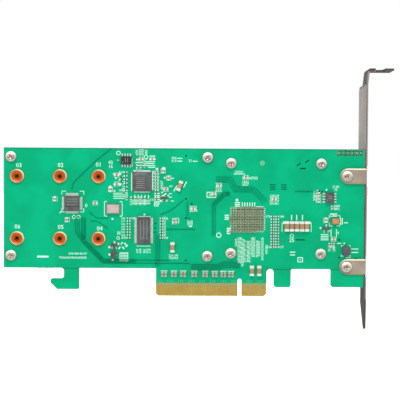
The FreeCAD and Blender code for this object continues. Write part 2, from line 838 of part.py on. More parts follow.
transistors = [near_drives(-11.4, 4.9), near_bracket(-17.6, -8.9), near_drives(-34.6, -17.2)]
diode = near_drives(-34.8, -21.3)
power_inductors = [near_bracket(-8, -16.0), near_bracket(-8, -7.0)]
can_capacitor = near_bracket(-8, 2.6)
choke = near_lower_tab(-8.3, 7.4)
decoupling_columns = 9
decoupling_rows = 8
decoupling_pitch = (1.86, 1.6)


def make_large_capacitor(x, z, angle):
    """A ceramic capacitor that stands along Z, with a raised terminal at each end."""
    length, width, height = large_capacitor_size
    body = slab(SOLDER, x, z, width - 2 * large_capacitor_relief, length, 0,
                height - large_capacitor_relief)
    ends = [slab(SOLDER, x, z + sign * (length - large_capacitor_terminal) / 2, width,
                 large_capacitor_terminal, 0, height) for sign in (-1, 1)]
    part = fused([body] + ends)
    part.rotate(Vector(x, 0, z), Vector(0, 1, 0), angle)
    return part


def make_decoupling_capacitors():
    """The capacitors on the back of the switch chip; the grid's corners stay empty."""
    pitch_x, pitch_z = decoupling_pitch
    parts = []
    for i in range(decoupling_columns):
        for k in range(decoupling_rows):
            if (i < 2 and k in (2, 6, 7)) or (i == 0 and k in (1, 5)) or (i > 6 and k == 0):
                continue
            x = switch_chip_x + (i - (decoupling_columns - 1) / 2) * pitch_x
            z = switch_chip_z + (k - (decoupling_rows - 1) / 2) * pitch_z
            parts.append(chip_part(x, z, decoupling_size, False))
    return parts


def make_lane_capacitors():
    z = shoulder_height - lane_capacitor_fall
    return [chip_part(x + sign * lane_capacitor_spread / 2, z, small_capacitor_size, True)
            for x in lane_capacitor_offsets for sign in (-1, 1)]


def header_pin_places():
    return [x for x, z in row(header_x, header_z, header_pins, header_pitch)]


def make_header():
    length = header_pins * header_pitch
    body = bevelled_chip(COMPONENT, header_x, header_z, length, header_body_depth, 0,
                         header_body_height, header_bevel)
    bores = []
    pins = []
    for x in header_pin_places():
        bores.append(slab(COMPONENT, x, header_z, header_pin_size + header_pin_clearance,
                          header_pin_size + header_pin_clearance, -overcut,
                          header_body_height + overcut))
        pins.append(slab(COMPONENT, x, header_z, header_pin_size, header_pin_size,
                         -(board_thickness + header_pin_tail), header_pin_height))
    return body.cut(bores), pins


def make_inductor(x, z):
    half = inductor_size / 2
    return cut_corner_plate(x - half, x + half, z - half, z + half, inductor_corner, half_board,
                            inductor_height)


def make_can_capacitor(x, z):
    """A can capacitor's aluminium sleeve on its square plastic base."""
    base = bevelled_chip(COMPONENT, x, z, can_capacitor_base, can_capacitor_base, 0,
                         can_capacitor_base_height, can_capacitor_base_bevel)
    radius = can_capacitor_radius
    edge = can_capacitor_edge
    profile = [(0, can_capacitor_base_height), (radius, can_capacitor_base_height),
               (radius, can_capacitor_height - edge), (radius - edge, can_capacitor_height),
               (0, can_capacitor_height)]
    return base, turned(COMPONENT, x, z, profile)


def make_transistors():
    """Three-lead parts: a small body with two leads below and one above."""
    length, width = transistor_size
    bodies = []
    leads = []
    for x, z in transistors:
        bodies.append(bevelled_chip(SOLDER, x, z, length, width, chip_stand, transistor_height,
                                    transistor_bevel))
        for along, count in zip((DOWN, UP), transistor_lead_counts):
            leads += lead_row(SOLDER, x, z, along, width / 2, count, transistor_lead)
    return bodies, leads


# ---- Every sub-part, written to its own file ----
os.makedirs("parts", exist_ok=True)

write("circuit_board", [make_circuit_board()])
write("edge_contacts_solder_side", make_edge_contacts(SOLDER))
write("edge_contacts_component_side", make_edge_contacts(COMPONENT))
write("slot_bracket", [make_slot_bracket()])
write("bracket_screws", make_bracket_screws())
write("bracket_nuts", make_bracket_nuts())
write("drive_standoffs", make_drive_standoffs())
for place, z in zip(("upper", "lower"), drive_rows):
    write(place + "_drive_socket", [make_socket_housing(z)])
    write(place + "_socket_contacts", make_socket_contacts(z))

write("drive_heatsink", [make_heatsink(drive_screws, drive_plate_level, drive_heatsink_plate,
                                       drive_heatsink_fin_height, drive_heatsink_fins)])
write("drive_heatsink_screws", make_heatsink_screws(drive_screws, drive_plate_level))
write("drive_thermal_pads", make_drive_pads())
write("controller_heatsink", [make_heatsink(controller_screws, controller_plate_level,
                                            controller_heatsink_plate,
                                            controller_heatsink_fin_height,
                                            controller_heatsink_fins)])
write("controller_heatsink_screws", make_heatsink_screws(controller_screws,
                                                         controller_plate_level))
lid_size = switch_chip_size - 2 * switch_chip_lid_inset
lid_level = switch_chip_substrate + switch_chip_lid
write("switch_chip_substrate", [slab(COMPONENT, switch_chip_x, switch_chip_z, switch_chip_size,
                                     switch_chip_size, 0, switch_chip_substrate)])
write("switch_chip_lid", [bevelled_chip(COMPONENT, switch_chip_x, switch_chip_z, lid_size, lid_size,
                                        switch_chip_substrate, lid_level,
                                        switch_chip_bevel)])
pad_size = lid_size - 2 * controller_pad_inset
write("controller_thermal_pad", [slab(COMPONENT, switch_chip_x, switch_chip_z, pad_size, pad_size,
                                      lid_level, controller_plate_level)])

body, leads = quad_chip(*microcontroller, microcontroller_size, microcontroller_height,
                        microcontroller_lead_count, microcontroller_lead)
write("microcontroller", [body])
write("microcontroller_leads", leads)
body, leads = make_power_monitor()
write("power_monitor", [body])
write("power_monitor_pads", leads)
body, leads = dual_chip(*bus_expander, *bus_expander_size, bus_expander_height,
                        bus_expander_lead_count, bus_expander_lead, False)
write("bus_expander", [body])
write("bus_expander_leads", leads)
body, leads = dual_chip(*memory_chip, eight_lead_length, eight_lead_width, eight_lead_height,
                        eight_lead_side_count, eight_lead, True)
write("memory_chip", [body])
write("memory_chip_leads", leads)
body, leads = dual_chip(*sensor_chip, eight_lead_width, eight_lead_length, eight_lead_height,
                        eight_lead_side_count, eight_lead, False)
write("sensor_chip", [body])
write("sensor_chip_leads", leads)
bodies, leads = make_transistors()
write("transistors", bodies)
write("transistor_leads", leads)

write("crystal_base", [slab(SOLDER, *crystal, crystal_length, crystal_width, 0,
                            crystal_base_height)])
write("crystal_can", [bevelled_chip(SOLDER, *crystal, crystal_length - 2 * crystal_can_inset,
                                    crystal_width - 2 * crystal_can_inset, crystal_base_height,
                                    crystal_base_height + crystal_can_height, crystal_bevel)])

write("chip_resistors", [chip_part(x, z, resistor_size, False)
                         for places in resistor_columns for x, z in places]
      + [chip_part(x, z, resistor_size, True) for places in resistor_rows for x, z in places])
write("small_capacitors", [chip_part(x, z, small_capacitor_size, False)
                           for x, z in small_capacitors_flat]
      + [chip_part(x, z, small_capacitor_size, True) for x, z in small_capacitors_upright])
write("lane_capacitors", make_lane_capacitors())
write("decoupling_capacitors", make_decoupling_capacitors())
upright_capacitors = bulk_capacitor_row + edge_capacitors + single_capacitors
write("large_capacitors", [make_large_capacitor(x, z, 0) for x, z in upright_capacitors]
      + [make_large_capacitor(*tilted_capacitor, tilted_capacitor_angle)])
write("tantalum_capacitor", [bevelled_block(tantalum, tantalum_size, block_bevel)])
write("diode", [bevelled_block(diode, diode_size, block_bevel)])
write("power_choke", [bevelled_block(choke, choke_size, choke_bevel)])

body, pins = make_header()
write("indicator_header", [body])
write("indicator_header_pins", pins)
write("power_inductors", [make_inductor(*place) for place in power_inductors])
base, can = make_can_capacitor(*can_capacitor)
write("can_capacitor_base", [base])
write("can_capacitor", [can])
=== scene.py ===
import json
import math
import random

import bmesh
import bpy
from mathutils import Matrix, Vector


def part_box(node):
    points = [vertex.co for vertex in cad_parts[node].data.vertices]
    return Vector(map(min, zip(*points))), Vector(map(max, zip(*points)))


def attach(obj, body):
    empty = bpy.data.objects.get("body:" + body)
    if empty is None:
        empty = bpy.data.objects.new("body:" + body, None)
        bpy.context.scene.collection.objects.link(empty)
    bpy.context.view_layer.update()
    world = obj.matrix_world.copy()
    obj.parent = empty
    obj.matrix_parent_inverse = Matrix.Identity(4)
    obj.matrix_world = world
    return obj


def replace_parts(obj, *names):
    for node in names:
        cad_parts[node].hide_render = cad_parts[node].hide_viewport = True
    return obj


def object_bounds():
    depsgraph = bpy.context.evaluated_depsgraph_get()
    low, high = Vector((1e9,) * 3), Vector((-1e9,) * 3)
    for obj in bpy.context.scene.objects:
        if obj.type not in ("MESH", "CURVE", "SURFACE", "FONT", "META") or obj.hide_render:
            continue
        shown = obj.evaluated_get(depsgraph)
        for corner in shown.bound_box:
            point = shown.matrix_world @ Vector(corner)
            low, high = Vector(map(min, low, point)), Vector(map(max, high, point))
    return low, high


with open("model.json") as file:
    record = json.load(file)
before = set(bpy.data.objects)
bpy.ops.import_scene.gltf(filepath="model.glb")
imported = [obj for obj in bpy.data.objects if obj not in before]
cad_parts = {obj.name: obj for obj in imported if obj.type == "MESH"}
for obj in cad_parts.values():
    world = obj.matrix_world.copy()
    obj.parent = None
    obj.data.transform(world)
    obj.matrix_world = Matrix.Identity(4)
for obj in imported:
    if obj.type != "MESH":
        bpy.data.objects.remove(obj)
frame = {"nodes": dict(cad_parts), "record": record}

# A drive adapter card: the finishes of its pieces, and the small things on its board that are too
# fine for the solid model. Metres; lengths that are easier to read in millimetres are given times MM.
MM = 0.001
SOLDER = -1
COMPONENT = 1
RIGHT_ANGLE = math.pi / 2

cad_low, cad_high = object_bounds()
nodes = frame["nodes"]
random.seed(7)


def mount_place(name):
    """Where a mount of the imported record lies."""
    return next(Vector(mount["pos_m"]) for mount in frame["record"]["mounts"] if mount["name"] == name)


# ---- Sizes of what is added here ----
# Lengths times MM are in metres. Plain lengths are in millimetres, for patterns and groups of marks.
# A share is a part of some other size, and has no unit.

# How close points of a mesh lie, in metres, that become one, and how many sides round shapes have.
MERGE_DISTANCE = 1e-9
SOLID_MERGE_DISTANCE = 1e-7
VIA_SEGMENTS = 14
DISC_SEGMENTS = 24
HOOP_SEGMENTS = 28
MOUTH_SEGMENTS = 32
THREAD_SEGMENTS = 36
RIM_SEGMENTS = 40

# Ink. The advance is a share of a digit's height.
INK_THICKNESS = 0.05 * MM
DIGIT_ADVANCE = 0.72

# Numbers beside resistors, apart from those that stand in a row closer than the stack pitch.
STACK_PITCH = 1.7 * MM
LABEL_REACH = 2.1
LABEL_HALF_LENGTH = 1.2 * MM
LABEL_HALF_HEIGHT = 0.4 * MM
FIRST_NUMBER = 107
NUMBER_STEP = 7

# Lines along both sides of a small capacitor, and over a lane capacitor.
SIDE_LINE_REACH = 0.95
SIDE_LINE_LENGTH = 2.4
SIDE_LINE_WIDTH = 0.2
LANE_LINE_RISE = 0.7
LANE_LINE_LENGTH = 1.5

# Tracks under the mask. The limit keeps the mitre at a sharp corner of a bundle short.
TRACE_THICKNESS = 0.04 * MM
TRACE_CORNER = 0.8 * MM
TRACK_WIDTH = 0.64
BACK_TRACK_WIDTH = 0.3
MITRE_LIMIT = 0.4

# Metal ends and solder of the chip parts. An end is a share of the part's length, the fillet's rise
# one of the part's height, and its sag, halfway out, one of its rise.
END_CAP_SHARE = 0.27
LARGE_END_SHARE = 0.22
END_CAP_PROUD = 0.02 * MM
FILLET_REACH = 0.28 * MM
FILLET_RISE = 0.6
FILLET_SAG = 0.3
LEANING_CAPACITOR_TURN = math.radians(20)

# Pads under leads, plated holes, and the necks above the contacts.
PAD_THICKNESS = 0.04 * MM
LEAD_PAD_MARGIN = 0.07 * MM
LEAD_PAD_REACH = 0.3 * MM
VIA_RADIUS = 0.32 * MM
VIA_HEIGHT = 0.05 * MM
CONTACT_PROUD = 0.06 * MM
NECK_LENGTH = 1.7

# The field of decoupling capacitors behind the switch chip, and the row of bulk capacitors.
FIELD_COLUMNS = 14
FIELD_ROWS = 10
FIELD_PITCH = 1.16
BULK_COUNT = 5
BULK_PITCH = 2.37

# Zones of the board's finish: a dark border along its edges, and bare laminate round the contacts.
BORDER = 0.5
BORDER_DROP = 55.9
BORDER_RISE = 12.4
FINGER_MARGIN = 0.5
BARE_MARGIN = 2.0
BARE_RISE = 0.15

# Zones of the bracket's finish, measured from its ends and folds, and how softly they meet. The flange,
# tongue and tongue-tip zones hold painted shade, and the tab rim a painted highlight over painted shade.
BRACKET_SHEET = 0.86
SHEAR_FADE = 0.45
FLANGE_ZONE = 7.4
FLANGE_FADE = (-1.0, 0.6)
FLANGE_FOLD = 1.3
TONGUE_ZONE = 24.0
TONGUE_FADE = -3.0
TONGUE_TIP = 14
TAB_HALF = 3.4
TAB_RIM = 0.4
TAB_RIM_PAST = 0.2
TAB_MARGIN = 0.1

# Zones of other finishes: thin plating on the contacts, and the printed share of the can's end.
THIN_PLATING = 1.5
PRINTED_SHARE = 0.32

# The ring round a standoff's foot, whose inner radius is a share of the foot's, and the brown ring of
# painted shade at its mouth.
RIM_REACH = 0.45 * MM
RIM_INNER = 0.84
RIM_PROUD = 0.12 * MM
RIM_SMOOTH_ANGLE = math.radians(50)
MOUTH_INNER = 0.82 * MM
MOUTH_OUTER = 1.15 * MM
MOUTH_PROUD = 0.02 * MM

# Threads. Steps are the rows of points in one turn.
THREAD_STEPS = 6
THREAD_PITCH = 0.45 * MM
THREAD_DEPTH = 0.16 * MM

# Pan-head screws. The crown is a share of the head's height, the tip one of the shank's radius, and
# the taper one of the recess's reach. Each screw is turned at random within the spread, in radians.
HEAD_HEIGHT = 1.7 * MM
HEAD_TOP_RADIUS = 1.9 * MM
HEAD_EDGE = 0.12 * MM
CROWN_SHARE = 0.28
SHANK_TIP_SHARE = 0.72
RECESS_REACH = 1.4 * MM
RECESS_WIDTH = 0.66 * MM
RECESS_DEPTH = 0.45 * MM
RECESS_TURN = math.radians(12)
RECESS_TAPER = 0.5
SCREW_TURN_SPREAD = 0.7
SCREW_SMOOTH_ANGLE = math.radians(28)
SHANK_RADII = {"bracket_screws": 1.5 * MM, "drive_heatsink_screws": 1.25 * MM,
               "controller_heatsink_screws": 1.25 * MM}

# Riveted standoffs, with a hexagonal barrel.
STANDOFF_BORE = 0.8 * MM
BARREL_FLATS = 4.0 * MM
BARREL_CHAMFER = 0.18 * MM
STANDOFF_SMOOTH_ANGLE = math.radians(32)


# ---- Node trees ----
def arithmetic(operation, reflected=False):
    """A method of Value that adds the Math node for one sign."""
    def apply(self, other):
        values = (other, self) if reflected else (self, other)
        return self.graph.maths(operation, *values)

    return apply


class Value:
    """An output of a node. Arithmetic on values adds the Math nodes for it."""

    def __init__(self, graph, socket):
        self.graph = graph
        self.socket = socket

    __add__ = arithmetic("ADD")
    __radd__ = __add__
    __sub__ = arithmetic("SUBTRACT")
    __rsub__ = arithmetic("SUBTRACT", reflected=True)
    __mul__ = arithmetic("MULTIPLY")
    __rmul__ = __mul__
    __truediv__ = arithmetic("DIVIDE")
    __gt__ = arithmetic("GREATER_THAN")
    __lt__ = arithmetic("LESS_THAN")


class Graph:
    """A shader or geometry tree, in which one method makes any node."""

    def __init__(self, tree):
        self.tree = tree

    def add(self, kind, settings=None, inputs=None, output=0):
        node = self.tree.nodes.new(kind)
        for name, value in (settings or {}).items():
            setattr(node, name, value)
        for name, value in (inputs or {}).items():
            self.connect(node.inputs[name], value)
        return Value(self, node.outputs[output])

    def connect(self, socket, value):
        if isinstance(value, Value):
            self.tree.links.new(value.socket, socket)
        else:
            socket.default_value = value

    def maths(self, operation, *values):
        return self.add("ShaderNodeMath", {"operation": operation}, dict(enumerate(values)))


def paint(red, green, blue):
    """A colour given as screen values from 0 to 255, made linear."""
    channels = []
    for value in (red, green, blue):
        share = value / 255
        channels.append(share / 12.92 if share <= 0.04045 else ((share + 0.055) / 1.055) ** 2.4)
    return (*channels, 1)


class Finish(Graph):
    """A material on the Principled shader. Its patterns are in the object's own millimetres."""

    def __init__(self, name, **constants):
        self.material = bpy.data.materials.new(name)
        self.material.use_nodes = True
        super().__init__(self.material.node_tree)
        self.shader = self.tree.nodes["Principled BSDF"]
        self.place = self.add("ShaderNodeTexCoord", output="Object")
        for socket, value in constants.items():
            self.feed(socket.replace("_", " "), value)

    def feed(self, socket, value):
        self.connect(self.shader.inputs[socket], value)

    def axis(self, name):
        """One coordinate of the place, in millimetres."""
        return self.add("ShaderNodeSeparateXYZ", None, {0: self.place}, name) / MM

    def noise(self, size, detail=3.0, stretch=(1, 1, 1)):
        """Noise whose spots are about size millimetres across, longer along a stretched axis."""
        scale = tuple(1 / (MM * size * part) for part in stretch)
        place = self.add("ShaderNodeMapping", None, {"Vector": self.place, "Scale": scale})
        return self.add("ShaderNodeTexNoise", None,
                        {"Vector": place, "Scale": 1.0, "Detail": detail, "Roughness": 0.6})

    def mix(self, factor, first, second):
        return self.add("ShaderNodeMix", {"data_type": "RGBA"}, {0: factor, 6: first, 7: second}, 2)

    def blend(self, value, low, high, start=0.35, end=0.65):
        """One colour below start, the other above end, and a blend between."""
        return self.mix(self.blend_share(value, start, end), low, high)

    def between(self, value, low, high):
        return (value > low) * (value < high)

    def facing(self, axis):
        """How far the surface faces along one axis, from -1 to 1."""
        normal = self.add("ShaderNodeNewGeometry", output="Normal")
        return self.add("ShaderNodeSeparateXYZ", None, {0: normal}, axis)

    def relief(self, height, depth, strength=1.0):
        """Bump of a given depth in millimetres."""
        self.feed("Normal", self.add("ShaderNodeBump", None, {
            "Height": height, "Distance": depth * MM, "Strength": strength}))

    def blend_share(self, value, start, end):
        """How far a value has come from start to end, from 0 to 1."""
        return self.add("ShaderNodeMapRange", None, {0: value, 1: start, 2: end})

    def span(self, value, low, high):
        """A value from 0 to 1 spread over a range."""
        return value * (high - low) + low

    def complete(self, colour, grain, roughness, depth=None):
        """The material, with its colour, and with a gloss and a relief that follow its grain."""
        self.feed("Base Color", colour)
        self.feed("Roughness", self.span(grain, *roughness))
        if depth is not None:
            self.relief(grain, depth)
        return self.material


# ---- Finishes ----
def board_finish():
    """Green mask over copper, bare laminate at the contacts and on the cut edges."""
    finish = Finish("board_green_mask", Specular_IOR_Level=0.05)
    low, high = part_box("edge_contacts_solder_side")
    board_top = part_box("circuit_board")[1].z
    x, z = finish.axis("X"), finish.axis("Z")
    patches = finish.noise(17, 2.0)
    fine = finish.noise(2.2, 4.0)
    green = finish.blend(patches, paint(0, 143, 98), paint(0, 154, 108), 0.42, 0.6)
    green = finish.mix(fine * 0.25, green, paint(4, 136, 98))
    beside_fingers = finish.maths("MAXIMUM", x < low.x / MM - FINGER_MARGIN,
                                  x > high.x / MM + FINGER_MARGIN)
    lower_border = (z < board_top / MM - BORDER_DROP) * (z > BORDER_RISE) * beside_fingers
    border = (z > board_top / MM - BORDER) + lower_border
    green = finish.mix(border * 0.6, green, paint(8, 96, 70))
    laminate = finish.blend(finish.noise(0.9), paint(148, 130, 66), paint(172, 152, 84))
    contact_zone = (z < high.z / MM + BARE_RISE) * finish.between(x, low.x / MM - BARE_MARGIN,
                                                                  high.x / MM + BARE_MARGIN)
    edge = finish.blend(finish.noise(0.6, 3.0, (6, 1, 6)), paint(60, 150, 90), paint(120, 178, 116))
    on_face = finish.maths("ABSOLUTE", finish.facing("Y")) > 0.5
    colour = finish.mix(contact_zone, green, laminate)
    finish.feed("Base Color", finish.mix(on_face, edge, colour))
    finish.feed("Roughness", finish.span(fine, 0.38, 0.55) + contact_zone * 0.15)
    finish.relief(fine + finish.noise(0.25, 2.0) * 0.4, 0.02)
    return finish.material


def grained_finish(name, low, high, size, roughness, depth=None, detail=4.0, **constants):
    """A surface whose tone and gloss follow one fine grain."""
    finish = Finish(name, **constants)
    grain = finish.noise(size, detail)
    return finish.complete(finish.blend(grain, low, high), grain, roughness, depth)


def ink_finish(name, low, high):
    """Matt ink or lacquer."""
    return grained_finish(name, low, high, 0.18, (0.6, 0.8), 0.01, Specular_IOR_Level=0.2)


def metal_finish(name, low, high, size=0.3, roughness=(0.3, 0.5), stretch=(1, 1, 1), depth=0.01,
                 metallic=0.3):
    """A plated or brushed metal, whose tone and gloss change along its grain."""
    finish = Finish(name, Metallic=metallic)
    grain = finish.noise(size, 5.0, stretch)
    stain = finish.noise(size * 9, 2.0)
    return finish.complete(finish.blend(grain * 0.6 + stain * 0.4, low, high), grain, roughness, depth)


class Box:
    """A solid's box: its corners, middle and size."""

    def __init__(self, low, high):
        self.low = Vector(low)
        self.high = Vector(high)
        self.middle = (self.low + self.high) / 2
        self.size = self.high - self.low


def box_of(node):
    return Box(*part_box(node))


def reach_of(points):
    """The low and the high corner of the box round some points."""
    return [Vector([choose(point[i] for point in points) for i in range(3)]) for choose in (min, max)]


def around(boxes):
    """The box round some boxes."""
    return Box(*reach_of([corner for box in boxes for corner in (box.low, box.high)]))


def solids_of(node):
    """The box of each separate solid in a CAD node, from a merged copy of its mesh."""
    copy = bmesh.new()
    copy.from_mesh(nodes[node].data)
    bmesh.ops.remove_doubles(copy, verts=copy.verts, dist=SOLID_MERGE_DISTANCE)
    seen = set()
    boxes = []
    for start in copy.verts:
        if start.index in seen:
            continue
        seen.add(start.index)
        group = [start]
        for vertex in group:
            for edge in vertex.link_edges:
                other = edge.other_vert(vertex)
                if other.index not in seen:
                    seen.add(other.index)
                    group.append(other)
        boxes.append(Box(*reach_of([vertex.co for vertex in group])))
    copy.free()
    return boxes


def bracket_finish():
    """Plated steel, brushed along its length and warm on the tabs; painted shade darkens both ends,
    every face but the outer side, and the cut edges next to the inner face, and the tab rims carry a
    painted highlight over painted shade.
    """
    finish = Finish("bracket_plated_steel", Metallic=0.25, Specular_IOR_Level=0.15)
    x, z = finish.axis("X"), finish.axis("Z")
    low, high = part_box("slot_bracket")
    inner_face = mount_place("bracket_face").x / MM - BRACKET_SHEET
    grain = finish.noise(0.35, 5.0, (1, 1, 26))
    streak = finish.noise(2.4, 2.0, (1, 1, 40))
    stain = finish.noise(9.0, 3.0)
    texture = grain * 0.25 + stain * 0.25 + streak * 0.5
    steel = finish.blend(texture, paint(104, 102, 95), paint(158, 155, 146))
    # Painted shade: the steel darkens towards the top over the flange and towards the bottom over the
    # tongue.
    flange = high.z / MM - FLANGE_ZONE
    tongue = low.z / MM + TONGUE_ZONE
    ends_painted_shade = (finish.blend_share(z, flange + FLANGE_FADE[0], flange + FLANGE_FADE[1])
                 + finish.blend_share(z, tongue, tongue + TONGUE_FADE))
    # Painted shade: every face but the outer side takes the darker copy of the steel.
    outer_side = finish.facing("X") > 0.5
    outer_steel = finish.blend(texture, paint(122, 120, 114), paint(176, 174, 167))
    steel = finish.mix(ends_painted_shade * 0.85, steel, paint(48, 48, 48))
    steel = finish.mix(outer_side, steel, outer_steel)
    tab = finish.blend(stain, paint(138, 126, 112), paint(158, 145, 131))
    # Painted shade on the cut edges: dark next to the inner face, then the edge's own tone, and dark
    # again near the tongue's tip.
    cut_edge_and_painted_shade = finish.blend(x, paint(56, 52, 46), paint(144, 126, 122), inner_face,
                           inner_face + SHEAR_FADE)
    cut_edge_and_painted_shade = finish.mix((z < low.z / MM + TONGUE_TIP) * 0.75, cut_edge_and_painted_shade, paint(44, 44, 44))
    near = finish.facing("Y") < -0.6
    colour = finish.mix(near * (z < high.z / MM - FLANGE_FOLD), steel, cut_edge_and_painted_shade)
    on_tab = x < inner_face - TAB_MARGIN
    rim = 0.0
    rim_top = 0.0
    for box in solids_of("bracket_screws"):
        rise = z - box.middle.z / MM
        past = finish.maths("MAXIMUM", (x * -1.0) + box.middle.x / MM, 0.0)
        reach = finish.maths("SQRT", past * past + rise * rise)
        row = finish.maths("ABSOLUTE", rise) < TAB_HALF
        on_tab = finish.maths("MAXIMUM", on_tab, row * near)
        edge = finish.between(reach, TAB_HALF - TAB_RIM, TAB_HALF + TAB_RIM_PAST)
        rim = edge + rim
        rim_top = edge * (rise > 0.0) + rim_top
    # Painted light on each tab's rounded end: a painted highlight on its upper half, painted shade on
    # its lower half.
    rim_painted_highlight_and_shade = finish.mix(rim_top, paint(150, 122, 100), paint(246, 238, 216))
    tab = finish.mix(rim * near * 0.8, tab, rim_painted_highlight_and_shade)
    finish.relief(grain + stain * 0.5, 0.006)
    return finish.complete(finish.mix(on_tab, colour, tab), grain, (0.32, 0.48))


def moulded_finish(name, low, high, roughness=(0.5, 0.68), size=0.14, depth=0.012):
    """Matt moulded plastic with fine pits and a faint flow pattern."""
    finish = Finish(name, Specular_IOR_Level=0.35)
    pits = finish.noise(size, 3.0)
    flow = finish.noise(size * 22, 2.0)
    return finish.complete(finish.blend(pits * 0.4 + flow * 0.6, low, high), pits, roughness, depth)


def rim_finish():
    """The ring round a standoff: copper brown, with a painted highlight on its slopes that face up and
    towards +X.
    """
    finish = Finish("standoff_rim", Metallic=0.2, Specular_IOR_Level=0.4)
    grain = finish.noise(0.3, 4.0)
    # Painted highlight: slopes facing up and towards +X take the pale colour; the rest stays copper
    # brown.
    run = finish.facing("Z") * 0.6 + finish.facing("X") * 0.5 + grain * 0.3
    bright = finish.maths("MINIMUM", finish.maths("MAXIMUM", run, 0.0), 1.0)
    brown = finish.blend(grain, paint(150, 78, 36), paint(186, 104, 52))
    return finish.complete(finish.mix(bright, brown, paint(252, 240, 206)), grain, (0.3, 0.45), 0.01)


def screw_finish():
    """Nickel, mottled, with a painted warm reflection on the flat crown of the head and a painted
    highlight where it faces up.
    """
    finish = Finish("screw_nickel", Metallic=0.8)
    grain = finish.noise(0.4, 5.0)
    stain = finish.noise(3.6, 2.0)
    nickel = finish.blend(grain * 0.6 + stain * 0.4, paint(164, 158, 148), paint(206, 202, 192))
    # Painted reflection: a warm red-brown tone on the crown, which faces -Y.
    warm = finish.blend(finish.blend_share(grain, 0.42, 0.58), paint(104, 46, 44), paint(200, 158, 150))
    crown = finish.blend_share(finish.facing("Y"), -0.9, -0.975)
    # Painted highlight: a near-white tone where the head faces up.
    faces_up_painted_highlight = finish.blend_share(finish.facing("Z"), -0.1, 0.5)
    colour = finish.mix(faces_up_painted_highlight, finish.mix(crown * 0.9, nickel, warm), paint(250, 248, 232))
    return finish.complete(colour, grain, (0.2, 0.36), 0.012)


def gold_finish():
    """Gold plating, thin and greenish at the upper end of the contacts."""
    finish = Finish("contact_gold", Metallic=0.55)
    wear = finish.noise(0.5, 4.0, (1, 1, 8))
    haze = finish.noise(6.0, 2.0)
    plated = finish.blend(wear * 0.5 + haze * 0.5, paint(162, 130, 52), paint(182, 155, 84))
    thin = finish.axis("Z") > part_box("edge_contacts_solder_side")[1].z / MM - THIN_PLATING
    colour = finish.mix(thin * 0.55, plated, paint(120, 152, 112))
    return finish.complete(colour, wear, (0.35, 0.55), 0.004)


def resistor_finish():
    """Black glass on the top, white ceramic at the sides."""
    finish = Finish("resistor_glass_and_ceramic", Specular_IOR_Level=0.4)
    grain = finish.noise(0.12, 3.0)
    top = finish.maths("ABSOLUTE", finish.facing("Y")) > 0.7
    ceramic = finish.blend(grain, paint(205, 203, 196), paint(232, 230, 224))
    glass = finish.blend(grain, paint(38, 38, 42), paint(66, 64, 68))
    return finish.complete(finish.mix(top, ceramic, glass), grain, (0.35, 0.6), 0.006)


def can_finish():
    """Aluminium can: a bright sleeve, with a dark printed part on its end."""
    finish = Finish("can_aluminium", Metallic=0.9)
    low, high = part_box("can_capacitor")
    grain = finish.noise(0.2, 4.0)
    metal = finish.blend(grain, paint(196, 198, 202), paint(226, 228, 232))
    print_start = (high.z - (high.z - low.z) * PRINTED_SHARE) / MM
    printed = (finish.axis("Z") > print_start) * (finish.facing("Y") > 0.6)
    return finish.complete(finish.mix(printed, metal, paint(28, 28, 32)), grain, (0.22, 0.4), 0.006)


def anodised_finish(name, low, high):
    """Extruded and anodised aluminium, with die lines along X."""
    finish = Finish(name, Metallic=0.7)
    lines = finish.noise(0.12, 4.0, (40, 1, 1))
    cloud = finish.noise(8.0, 2.0)
    return finish.complete(finish.blend(lines * 0.5 + cloud * 0.5, low, high), lines, (0.34, 0.52), 0.01)


mask = board_finish()
tracks = grained_finish("mask_over_tracks", paint(0, 44, 33), paint(0, 60, 44), 1.5, (0.4, 0.55),
                        detail=3.0, Specular_IOR_Level=0.06)
ink_white = ink_finish("white_board_ink", paint(170, 208, 190), paint(204, 232, 218))
pale_mask = ink_finish("mask_over_pads", paint(64, 146, 106), paint(96, 170, 130))
chip_ink = ink_finish("grey_laser_mark", paint(104, 106, 108), paint(130, 130, 130))
flooded = ink_finish("solder_over_copper", paint(98, 136, 108), paint(130, 150, 124))
flood_gap = ink_finish("mask_between_pads", paint(40, 92, 66), paint(58, 106, 78))
solder = metal_finish("solder_tin", paint(196, 204, 196), paint(226, 232, 226),
                      roughness=(0.25, 0.45), depth=0.02, metallic=0.35)
via_tin = metal_finish("via_tin", paint(116, 100, 84), paint(158, 140, 120))
dull_tin = metal_finish("dull_tin", paint(150, 150, 142), paint(184, 180, 174))
field_tin = metal_finish("field_tin", paint(164, 164, 128), paint(196, 194, 158))
header_tin = metal_finish("header_tin", paint(116, 132, 104), paint(150, 164, 130))
lead_tin = metal_finish("lead_tin", paint(190, 190, 188), paint(226, 226, 224), 0.15, metallic=0.5)
# Dark brown painted shade for the mouths of the standoffs' bores.
mouth_painted_shade = metal_finish("thread_mouth", paint(66, 34, 8), paint(92, 50, 16),
                           roughness=(0.5, 0.7), metallic=0.1)
copper = metal_finish("bare_copper", paint(206, 112, 62), paint(224, 140, 86),
                      roughness=(0.4, 0.55), metallic=0.5)
nut_steel = metal_finish("nut_zinc", paint(170, 174, 180), paint(212, 214, 218), 0.4, (0.25, 0.42),
                         metallic=1.0)
lid_nickel = metal_finish("package_lid", paint(158, 160, 164), paint(192, 194, 198),
                          stretch=(1, 1, 12), metallic=1.0)
crystal_steel = metal_finish("crystal_can", paint(190, 172, 168), paint(214, 198, 192), 0.5,
                             (0.35, 0.55), (8, 1, 1), metallic=0.6)
standoff_orange = grained_finish("standoff_orange", paint(164, 62, 2), paint(198, 92, 10), 0.3,
                                 (0.35, 0.5), 0.015, Metallic=0.25, Specular_IOR_Level=0.2)
bracket_steel = bracket_finish()
screw_steel = screw_finish()
rim_tin_and_painted_highlight = rim_finish()
gold = gold_finish()
chip_black = moulded_finish("chip_mould", paint(52, 56, 56), paint(80, 85, 84))
memory_black = moulded_finish("memory_mould", paint(28, 29, 30), paint(48, 49, 49))
